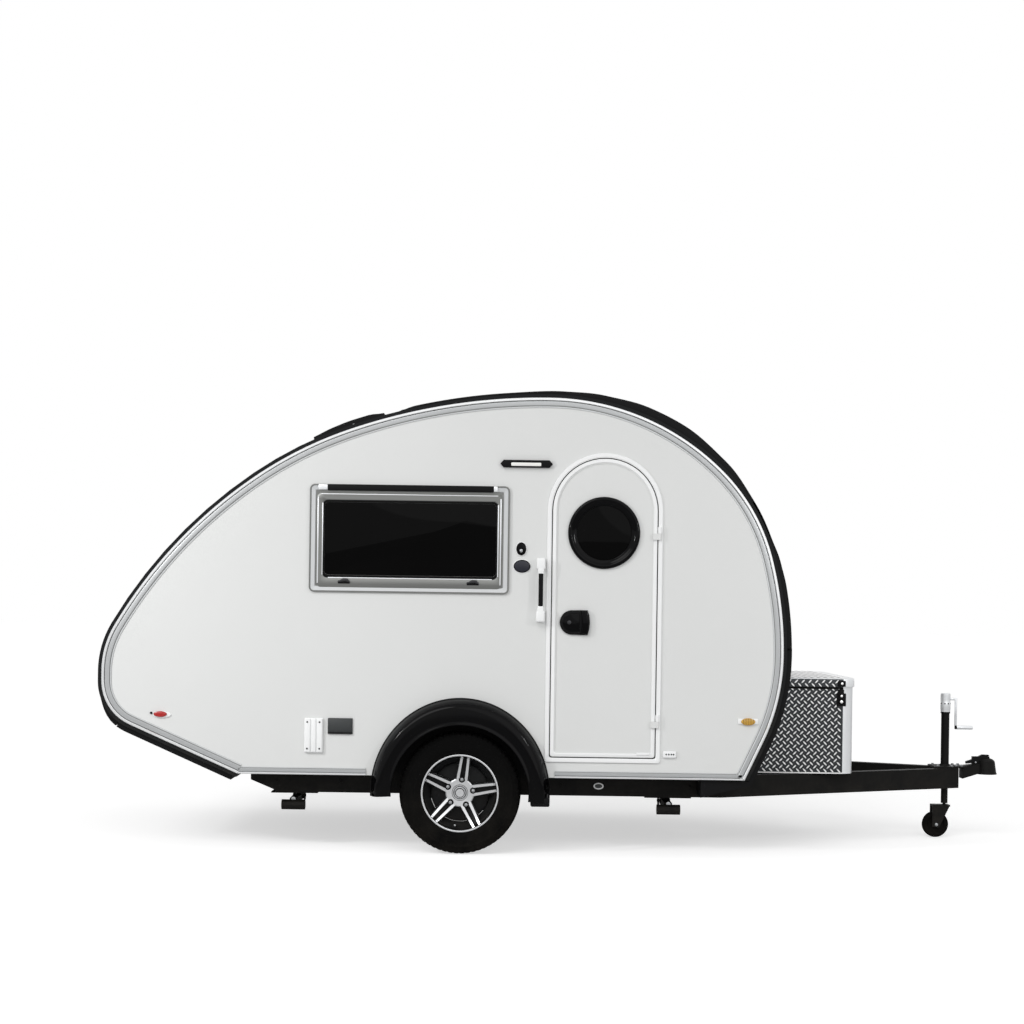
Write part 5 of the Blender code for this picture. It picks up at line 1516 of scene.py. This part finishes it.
def shell_of(outline, half, open_side, corner, crown=0.0):
    """Sheet box from a side outline, its front corners and top rim rounded, open above or below."""
    bm = slab(outline, -half, half)
    front, back, top = max(x for x, _ in outline), min(x for x, _ in outline), max(z for _, z in outline)

    def upright(edge):
        a, b = (v.co for v in edge.verts)
        return max(abs(a.x - front), abs(b.x - front), abs(a.y - b.y)) < 1e-5

    def on_rim(edge):
        level = all(abs(v.co.z - top) < 1e-5 for v in edge.verts)
        return level and any(v.co.x > back + 0.01 for v in edge.verts)

    soften(bm, [e for e in bm.edges if upright(e)], corner, 8)
    soften(bm, [e for e in bm.edges if on_rim(e)], crown, 4)
    bmesh.ops.recalc_face_normals(bm, faces=bm.faces)
    bm.normal_update()
    bmesh.ops.delete(bm, geom=[f for f in bm.faces if f.normal.z * open_side > 0.99], context="FACES")
    bmesh.ops.solidify(bm, geom=list(bm.faces), thickness=0.003)
    return bm


def painted_reflection_face(face):
    """True where a face of the box looks upwards or lies on a rounded front corner: the faces that get a
    painted reflection.
    """
    turned_corner = face.calc_center_median().x > BOX_FRONT - BOX_CORNER and abs(face.normal.x) < 0.999
    return face.normal.z > 0.2 or turned_corner and abs(face.normal.y) < 0.999


def make_tongue_box(sizes):
    """Tread-plate tongue box: dark sheet and bright lugs as painted shade and highlight of one metal, painted
    reflection on its top and rounded corners, hinge blocks, latches and a painted shadow under the lid.
    """
    body = [
        (BOX_FRONT, BOX_BOTTOM),
        (BOX_FRONT, BOX_TOP - 0.0045),
        (BOX_BACK, BOX_TOP - 0.0045),
        (BOX_BACK, BOX_KNEE),
        (BOX_FOOT, BOX_BOTTOM),
    ]
    # Painted reflection: top and rounded corners in a bright copy of the sheet, flat sides in a dark copy
    parts = face_split(shell_of(body, BOX_HALF, 1, BOX_CORNER), "bright sheet and painted highlight", "rolled sheet in painted shade", painted_reflection_face)
    slope = (BOX_BACK - BOX_FOOT) / (BOX_KNEE - BOX_BOTTOM)

    def on_side(at):
        back = BOX_FOOT + (at.z - BOX_BOTTOM) * slope if at.z < BOX_KNEE else BOX_BACK
        return at.x > back + 0.012

    depth = BOX_FRONT - BOX_CORNER - BOX_FOOT - 0.004
    rise = BOX_SEAM - BOX_BOTTOM - 0.008
    for side in (-1, 1):
        start = BOX_FOOT if side < 0 else BOX_FRONT - BOX_CORNER - 0.004
        origin = (start, side * BOX_HALF, BOX_BOTTOM + 0.006)
        sheet = tread_sheet(origin, (-side, 0, 0), (0, 0, 1), depth, rise, sizes, on_side)
        parts.append((sheet, "bright lug metal and painted highlight"))
    front = (BOX_FRONT, -BOX_HALF + BOX_CORNER, BOX_BOTTOM + 0.006)
    parts.append((tread_sheet(front, (0, 1, 0), (0, 0, 1), BOX_FLAT, rise, sizes), "bright lug metal and painted highlight"))
    back = (BOX_FOOT - 0.0005, BOX_HALF, BOX_BOTTOM + 0.004)
    lean = Vector((BOX_BACK - BOX_FOOT, 0, BOX_KNEE - BOX_BOTTOM))
    parts.append((tread_sheet(back, (0, -1, 0), lean, 2 * BOX_HALF, lean.length - 0.01, sizes), "bright lug metal and painted highlight"))
    for side in (-1, 1):
        y = side * (BOX_HALF - BOX_HINGE_INSET + 0.0128)
        low = (BOX_HINGE - 0.006, y - 0.0122, BOX_TOP - 0.017)
        high = (BOX_BACK + 0.002, y + 0.0122, BOX_TOP - 0.0068)
        parts.append((block(low, high), "rolled sheet in painted shade"))
        x, face = LATCH_X, BOX_HALF
        keeper = block(
            (x - 0.024, side * (face + 0.0002), 0.748), (x + 0.026, side * (face + 0.006), 0.816), 0.003, 3
        )
        arm = block(
            (x - 0.014, side * (face + 0.005), 0.762), (x + 0.014, side * (face + 0.0145), 0.838), 0.004, 3
        )
        parts += [(keeper, "satin black and painted shade"), (arm, "satin black and painted shade")]
        for z, radius in ((0.772, 0.0085), (0.802, 0.0065)):
            inner, outer = (x, side * (face + 0.012), z), (x, side * (face + 0.019), z)
            parts.append((rod(inner, outer, radius, steps=20, rounding=0.002), "bright lug metal and painted highlight"))
        end = BOX_FRONT - BOX_CORNER
        low = (BOX_FOOT + 0.02, side * (face - 0.001), BOX_BOTTOM)
        high = (end, side * (face + 0.003), BOX_BOTTOM + 0.006)
        parts.append((block(low, high), "bright lug metal and painted highlight"))
        # Black strip under the lid's skirt: painted shadow of the lid
        low = (BOX_BACK + 0.004, side * (face - 0.001), BOX_SEAM - 0.012)
        high = (end, side * (face + 0.002), BOX_SEAM - 0.002)
        parts.append((block(low, high), "seal rubber and painted shade"))
    piece("tongue_box", "trailer", parts, ["toolbox"], smooth=30)


def make_tongue_box_lid(sizes):
    """Lid of the tongue box: lugs on its top and rim, hinge pin, hooks and catch."""
    lap = 0.009
    axis = BOX_HINGE
    lid = [(BOX_FRONT + lap, BOX_SEAM), (BOX_FRONT + lap, BOX_TOP), (axis, BOX_TOP), (axis, BOX_SEAM)]
    crown = 0.011
    shell = shell_of(lid, BOX_HALF + lap, -1, BOX_CORNER + lap, crown)
    gone = [f for f in shell.faces if all(abs(v.co.x - axis) < 0.0045 for v in f.verts)]
    bmesh.ops.delete(shell, geom=gone, context="FACES")
    # Painted reflection on the lid's top and corners, painted shade on its flat skirt, as on the box
    parts = face_split(shell, "bright sheet and painted highlight", "rolled sheet in painted shade", painted_reflection_face)
    top = (axis + 0.004, -BOX_HALF - lap + 0.004, BOX_TOP)
    depth, width = BOX_FRONT + lap - axis - 0.06, 2 * (BOX_HALF + lap) - 0.008
    parts.append((tread_sheet(top, (1, 0, 0), (0, 1, 0), depth, width, sizes), "bright lug metal and painted highlight"))
    skirt = BOX_TOP - crown - BOX_SEAM
    for side in (-1, 1):
        face = BOX_HALF + lap
        origin = (axis if side < 0 else BOX_FRONT - BOX_CORNER, side * face, BOX_SEAM)
        sheet = tread_sheet(origin, (-side, 0, 0), (0, 0, 1), BOX_FRONT - BOX_CORNER - axis, skirt, sizes)
        x = LATCH_X + 0.002
        hook = block((x - 0.022, side * face, 0.852), (x + 0.020, side * (face + 0.007), 0.883), 0.003, 3)
        inner, outer = (x, side * (face + 0.005), 0.868), (x, side * (face + 0.011), 0.868)
        stud = rod(inner, outer, 0.007, steps=20, rounding=0.002)
        parts += [(sheet, "bright lug metal and painted highlight"), (hook, "satin black and painted shade"), (stud, "bright lug metal and painted highlight")]
    rim = (BOX_FRONT + lap, -BOX_HALF + BOX_CORNER, BOX_SEAM)
    parts.append((tread_sheet(rim, (0, 1, 0), (0, 0, 1), BOX_FLAT, skirt, sizes), "bright lug metal and painted highlight"))
    half, z = BOX_HALF - BOX_HINGE_INSET, BOX_TOP - 0.006
    parts.append((rod((axis, -half, z), (axis, half, z), 0.006, steps=20), "zinc plate"))
    x = BOX_FRONT + lap
    plate = block((x - 0.001, -0.050, BOX_SEAM - 0.040), (x + 0.012, 0.050, BOX_TOP - 0.018), 0.005, 4)
    catch = block((x + 0.010, -0.022, BOX_SEAM - 0.030), (x + 0.0165, 0.022, BOX_TOP - 0.030), 0.003, 3)
    parts += [(plate, "satin black and painted shade"), (catch, "dark steel")]
    piece("tongue_box_lid", "box_lid", parts, ["toolbox_lid"], smooth=30)


# Studio

CAMERA_X = 0.2005
CAMERA_Y = -9.95
CAMERA_Z = 1.25
CAMERA_LENS = 62.65
CAMERA_SHIFT = (0.0096, 0.0926)
CAMERA_ROLL = 0.8
STRIP_SIZE = (0.06, 0.50)
# Y and height of the point beside the axle that both strips look at
STRIP_AIM = (-1.0, 0.6)


def make_studio(light):
    """Pale floor and backdrop, soft light and the camera of the photograph."""
    scene = bpy.context.scene
    world = bpy.data.worlds.new("pale studio")
    scene.world = world
    world.use_nodes = True
    tree = world.node_tree
    tree.nodes.clear()
    path = node(tree, "ShaderNodeLightPath")
    seen = path.outputs["Is Camera Ray"]
    for kind in ("Is Glossy Ray", "Is Transmission Ray"):
        seen = node(tree, "ShaderNodeMath", {0: seen, 1: path.outputs[kind]}, operation="MAXIMUM").outputs[0]
    fill = node(tree, "ShaderNodeBackground", {"Color": (1, 1, 1, 1), "Strength": light.fill})
    white = node(tree, "ShaderNodeBackground", {"Color": (1, 1, 1, 1), "Strength": 1.0})
    mixed = node(tree, "ShaderNodeMixShader", {0: seen, 1: fill.outputs[0], 2: white.outputs[0]})
    node(tree, "ShaderNodeOutputWorld", {"Surface": mixed.outputs[0]})

    material = bpy.data.materials.new("pale floor")
    material.use_nodes = True
    tree = material.node_tree
    tree.nodes.clear()
    path = node(tree, "ShaderNodeLightPath")
    diffuse = node(tree, "ShaderNodeBsdfDiffuse", {"Color": (0.72, 0.72, 0.72, 1)})
    glow = node(tree, "ShaderNodeEmission", {"Color": (1, 1, 1, 1), "Strength": light.floor_glow})
    none = node(tree, "ShaderNodeEmission", {"Color": (0, 0, 0, 1), "Strength": 0.0})
    factors = {0: path.outputs["Is Camera Ray"], 1: none.outputs[0], 2: glow.outputs[0]}
    shown = node(tree, "ShaderNodeMixShader", factors)
    both = node(tree, "ShaderNodeAddShader", {0: diffuse.outputs[0], 1: shown.outputs[0]})
    node(tree, "ShaderNodeOutputMaterial", {"Surface": both.outputs[0]})
    bm = bmesh.new()
    bmesh.ops.create_grid(bm, x_segments=4, y_segments=4, size=90.0)
    mesh = bpy.data.meshes.new("floor")
    bm.to_mesh(mesh)
    bm.free()
    mesh.materials.append(material)
    floor = bpy.data.objects.new("floor", mesh)
    scene.collection.objects.link(floor)

    for name, strength, angle, turn in (
        ("key light", light.key, 34, (52, 0, -28)),
        ("side light", light.side, 50, (66, 0, 24)),
    ):
        lamp = bpy.data.lights.new(name, "SUN")
        lamp.energy = strength
        lamp.angle = math.radians(angle)
        obj = bpy.data.objects.new(name, lamp)
        obj.rotation_euler = [math.radians(a) for a in turn]
        scene.collection.objects.link(obj)
    for name, place, power in (
        ("left strip", (-3.2, -3.4, 2.6), light.strip * 2.2),
        ("right strip", (2.9, -3.6, 2.2), light.strip * 0.7),
    ):
        lamp = bpy.data.lights.new(name, "AREA")
        lamp.shape = "RECTANGLE"
        lamp.size, lamp.size_y = STRIP_SIZE
        lamp.energy = power
        lamp.diffuse_factor = 0.0
        obj = bpy.data.objects.new(name, lamp)
        obj.location = (place[0] + AXLE_X, place[1], place[2])
        towards = Vector((AXLE_X, *STRIP_AIM)) - obj.location
        obj.rotation_euler = towards.to_track_quat("-Z", "Y").to_euler()
        scene.collection.objects.link(obj)

    camera = bpy.data.cameras.new("camera")
    camera.lens = CAMERA_LENS
    camera.sensor_width = 36.0
    camera.shift_x, camera.shift_y = CAMERA_SHIFT
    camera.clip_end = 300.0
    obj = bpy.data.objects.new("camera", camera)
    obj.location = (AXLE_X + CAMERA_X, CAMERA_Y, CAMERA_Z)
    obj.rotation_euler = (math.radians(90), math.radians(-CAMERA_ROLL), 0)
    scene.collection.objects.link(obj)
    scene.camera = obj
    scene.view_settings.view_transform = "Standard"


# Add-on


def colour_property(name, description, colour):
    """Colour property from 0 to 255 screen values."""
    shade = tuple(c / 255 for c in colour)
    return FloatVectorProperty(
        name=name, description=description, subtype="COLOR_GAMMA", size=3, min=0.0, max=1.0, default=shade
    )


def length_property(name, description, default, least, most):
    """Length property in metres."""
    return FloatProperty(
        name=name, description=description, default=default, min=least, max=most, unit="LENGTH", precision=4
    )


class TrailerPaint(bpy.types.PropertyGroup):
    """Colours of the trailer, as they look on a screen."""

    panel: colour_property("Panel", "Side wall and door gelcoat", (222, 223, 222))
    trim_white: colour_property("White trim", "Door frame, borders and covers", (244, 245, 245))
    window_grey: colour_property("Window grey", "Side window frames and sashes", (128, 129, 127))
    shell_black: colour_property("Shell black", "Wrap-round roof shell", (26, 27, 28))
    # Ground of the box's tread plate: its dark colour is painted shade, a darker copy of the box's one metal
    sheet: colour_property("Box sheet", "Ground of the tread plate", (66, 68, 70))


class TrailerSizes(bpy.types.PropertyGroup):
    """Sizes of the details."""

    rail_scale: FloatProperty(
        name="Rail width", description="Width of the edge rails, 1 as built", default=1.0, min=0.8, max=1.0
    )
    screw_pitch: length_property("Screw pitch", "Distance between shell screws", 0.28, 0.1, 1.0)
    tread_depth: length_property("Tread depth", "Depth of the tyre's ribs", 0.006, 0.002, 0.009)
    tread_slots: IntProperty(
        name="Tread slots", description="Shoulder slots round a tyre", default=64, min=24, max=90
    )
    first_spoke: FloatProperty(
        name="First spoke",
        description="Angle of the first spoke pair",
        default=math.radians(82.0),
        subtype="ANGLE",
        unit="ROTATION",
    )
    lug_pitch: length_property("Lug pitch", "Distance between tread plate lugs", 0.018, 0.012, 0.05)
    lug_length: length_property("Lug length", "Length of a tread plate lug", 0.0285, 0.008, 0.04)
    lug_width: length_property("Lug width", "Width of a tread plate lug", 0.0092, 0.003, 0.015)


class TrailerLight(bpy.types.PropertyGroup):
    """Strengths of the studio's lights."""

    key: FloatProperty(name="Key", description="Strength of the key light", default=0.9, min=0.0)
    side: FloatProperty(name="Side", description="Strength of the side light", default=0.3, min=0.0)
    strip: FloatProperty(
        name="Strips", description="Power of the two strip lights", default=20.0, min=0.0, unit="POWER"
    )
    fill: FloatProperty(name="Fill", description="Strength of the surrounding light", default=0.42, min=0.0)
    floor_glow: FloatProperty(
        name="Floor glow", description="White added to the floor for the camera", default=0.56, min=0.0
    )


class MakeFinishes(bpy.types.Operator):
    """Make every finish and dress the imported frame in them."""

    bl_idname = "trailer.finishes"
    bl_label = "Finishes"

    def execute(self, context):
        make_finishes(context.scene.trailer_paint)
        dress_frame()
        return {"FINISHED"}


class MakeEdgeRails(bpy.types.Operator):
    """Make the rails round both side walls."""

    bl_idname = "trailer.edge_rails"
    bl_label = "Edge rails"

    def execute(self, context):
        make_edge_rails(context.scene.trailer_sizes)
        return {"FINISHED"}


class MakeShellDetails(bpy.types.Operator):
    """Make the shell's screws and seams."""

    bl_idname = "trailer.shell_details"
    bl_label = "Shell screws"

    def execute(self, context):
        make_shell_details(context.scene.trailer_sizes)
        return {"FINISHED"}


class MakeFrontBrim(bpy.types.Operator):
    """Make the raised black bands and the cowl round the front window."""

    bl_idname = "trailer.front_brim"
    bl_label = "Front brim"

    def execute(self, context):
        make_front_brim()
        return {"FINISHED"}


class MakePanoramaWindows(bpy.types.Operator):
    """Make the surrounds of the curved windows."""

    bl_idname = "trailer.panorama_windows"
    bl_label = "Curved windows"

    def execute(self, context):
        make_panorama_window()
        return {"FINISHED"}


class MakeHatchDetails(bpy.types.Operator):
    """Make the hatch lid's rim and dome, and the stays."""

    bl_idname = "trailer.hatch_details"
    bl_label = "Roof hatch"

    def execute(self, context):
        make_hatch_details()
        return {"FINISHED"}


class MakeSideWindows(bpy.types.Operator):
    """Make both awning windows."""

    bl_idname = "trailer.side_windows"
    bl_label = "Side windows"

    def execute(self, context):
        make_side_windows()
        return {"FINISHED"}


class MakeDoorTrim(bpy.types.Operator):
    """Make the doorway bead and the leaf's border."""

    bl_idname = "trailer.door_trim"
    bl_label = "Door trim"

    def execute(self, context):
        make_door_trim()
        return {"FINISHED"}


class MakePorthole(bpy.types.Operator):
    """Make the round door window."""

    bl_idname = "trailer.porthole"
    bl_label = "Porthole"

    def execute(self, context):
        make_porthole()
        return {"FINISHED"}


class MakeHandles(bpy.types.Operator):
    """Make the paddle latch and the grab bar."""

    bl_idname = "trailer.handles"
    bl_label = "Handles"

    def execute(self, context):
        make_handles()
        return {"FINISHED"}


class MakeWallFittings(bpy.types.Operator):
    """Make lamps, markers, covers and the bare badge."""

    bl_idname = "trailer.wall_fittings"
    bl_label = "Wall fittings"

    def execute(self, context):
        make_wall_fittings()
        return {"FINISHED"}


class MakeFenders(bpy.types.Operator):
    """Make both fenders."""

    bl_idname = "trailer.fenders"
    bl_label = "Fenders"

    def execute(self, context):
        make_fenders()
        return {"FINISHED"}


class MakeWheels(bpy.types.Operator):
    """Make tyres and cast wheels."""

    bl_idname = "trailer.wheels"
    bl_label = "Wheels"

    def execute(self, context):
        make_wheels(context.scene.trailer_sizes)
        return {"FINISHED"}


class MakeChassisDetails(bpy.types.Operator):
    """Make the chassis bolts and end plates."""

    bl_idname = "trailer.chassis_details"
    bl_label = "Chassis"

    def execute(self, context):
        make_chassis_details()
        return {"FINISHED"}


class MakeCouplerDetails(bpy.types.Operator):
    """Make the coupler's latch and bolts."""

    bl_idname = "trailer.coupler_details"
    bl_label = "Coupler"

    def execute(self, context):
        make_coupler_details()
        return {"FINISHED"}


class MakeJackDetails(bpy.types.Operator):
    """Make the jack's cap and crank, and the caster's tyre and nuts."""

    bl_idname = "trailer.jack_details"
    bl_label = "Tongue jack"

    def execute(self, context):
        make_jack_details()
        return {"FINISHED"}


class MakeSteadyDetails(bpy.types.Operator):
    """Make spindle ends and bolts of the steadies."""

    bl_idname = "trailer.steady_details"
    bl_label = "Corner steadies"

    def execute(self, context):
        make_steady_details()
        return {"FINISHED"}


class MakeTailLamps(bpy.types.Operator):
    """Make the rear guard's end band and the ribbed tail lamps."""

    bl_idname = "trailer.tail_lamps"
    bl_label = "Tail lamps"

    def execute(self, context):
        make_rear_guard_end()
        make_tail_lamps()
        return {"FINISHED"}


class MakeTongueBox(bpy.types.Operator):
    """Make the tread-plate box and its lid."""

    bl_idname = "trailer.tongue_box"
    bl_label = "Tongue box"

    def execute(self, context):
        make_tongue_box(context.scene.trailer_sizes)
        make_tongue_box_lid(context.scene.trailer_sizes)
        return {"FINISHED"}


class MakeStudio(bpy.types.Operator):
    """Make the floor, the lights and the camera."""

    bl_idname = "trailer.studio"
    bl_label = "Studio"

    def execute(self, context):
        make_studio(context.scene.trailer_light)
        return {"FINISHED"}


MAKERS = (
    MakeFinishes,
    MakeEdgeRails,
    MakeShellDetails,
    MakeFrontBrim,
    MakePanoramaWindows,
    MakeHatchDetails,
    MakeSideWindows,
    MakeDoorTrim,
    MakePorthole,
    MakeHandles,
    MakeWallFittings,
    MakeFenders,
    MakeWheels,
    MakeChassisDetails,
    MakeCouplerDetails,
    MakeJackDetails,
    MakeSteadyDetails,
    MakeTailLamps,
    MakeTongueBox,
    MakeStudio,
)


class TrailerPanel(bpy.types.Panel):
    """Trailer tools in the sidebar."""

    bl_idname = "VIEW3D_PT_trailer"
    bl_label = "Teardrop trailer"
    bl_space_type = "VIEW_3D"
    bl_region_type = "UI"
    bl_category = "Trailer"

    def draw(self, context):
        layout = self.layout
        for maker in MAKERS:
            layout.operator(maker.bl_idname)
        for group in (context.scene.trailer_paint, context.scene.trailer_sizes, context.scene.trailer_light):
            box = layout.box()
            for key in group.bl_rna.properties.keys():
                if key not in ("rna_type", "name"):
                    box.prop(group, key)


GROUPS = (
    ("trailer_paint", TrailerPaint),
    ("trailer_sizes", TrailerSizes),
    ("trailer_light", TrailerLight),
)


def register():
    for key, group in GROUPS:
        bpy.utils.register_class(group)
        setattr(bpy.types.Scene, key, PointerProperty(type=group))
    for maker in MAKERS:
        bpy.utils.register_class(maker)
    bpy.utils.register_class(TrailerPanel)


def unregister():
    bpy.utils.unregister_class(TrailerPanel)
    for maker in reversed(MAKERS):
        bpy.utils.unregister_class(maker)
    for key, group in reversed(GROUPS):
        delattr(bpy.types.Scene, key)
        bpy.utils.unregister_class(group)


def main():
    register()
    for maker in MAKERS:
        group, key = maker.bl_idname.split(".")
        getattr(getattr(bpy.ops, group), key)()


if __name__ == "__main__":
    main()
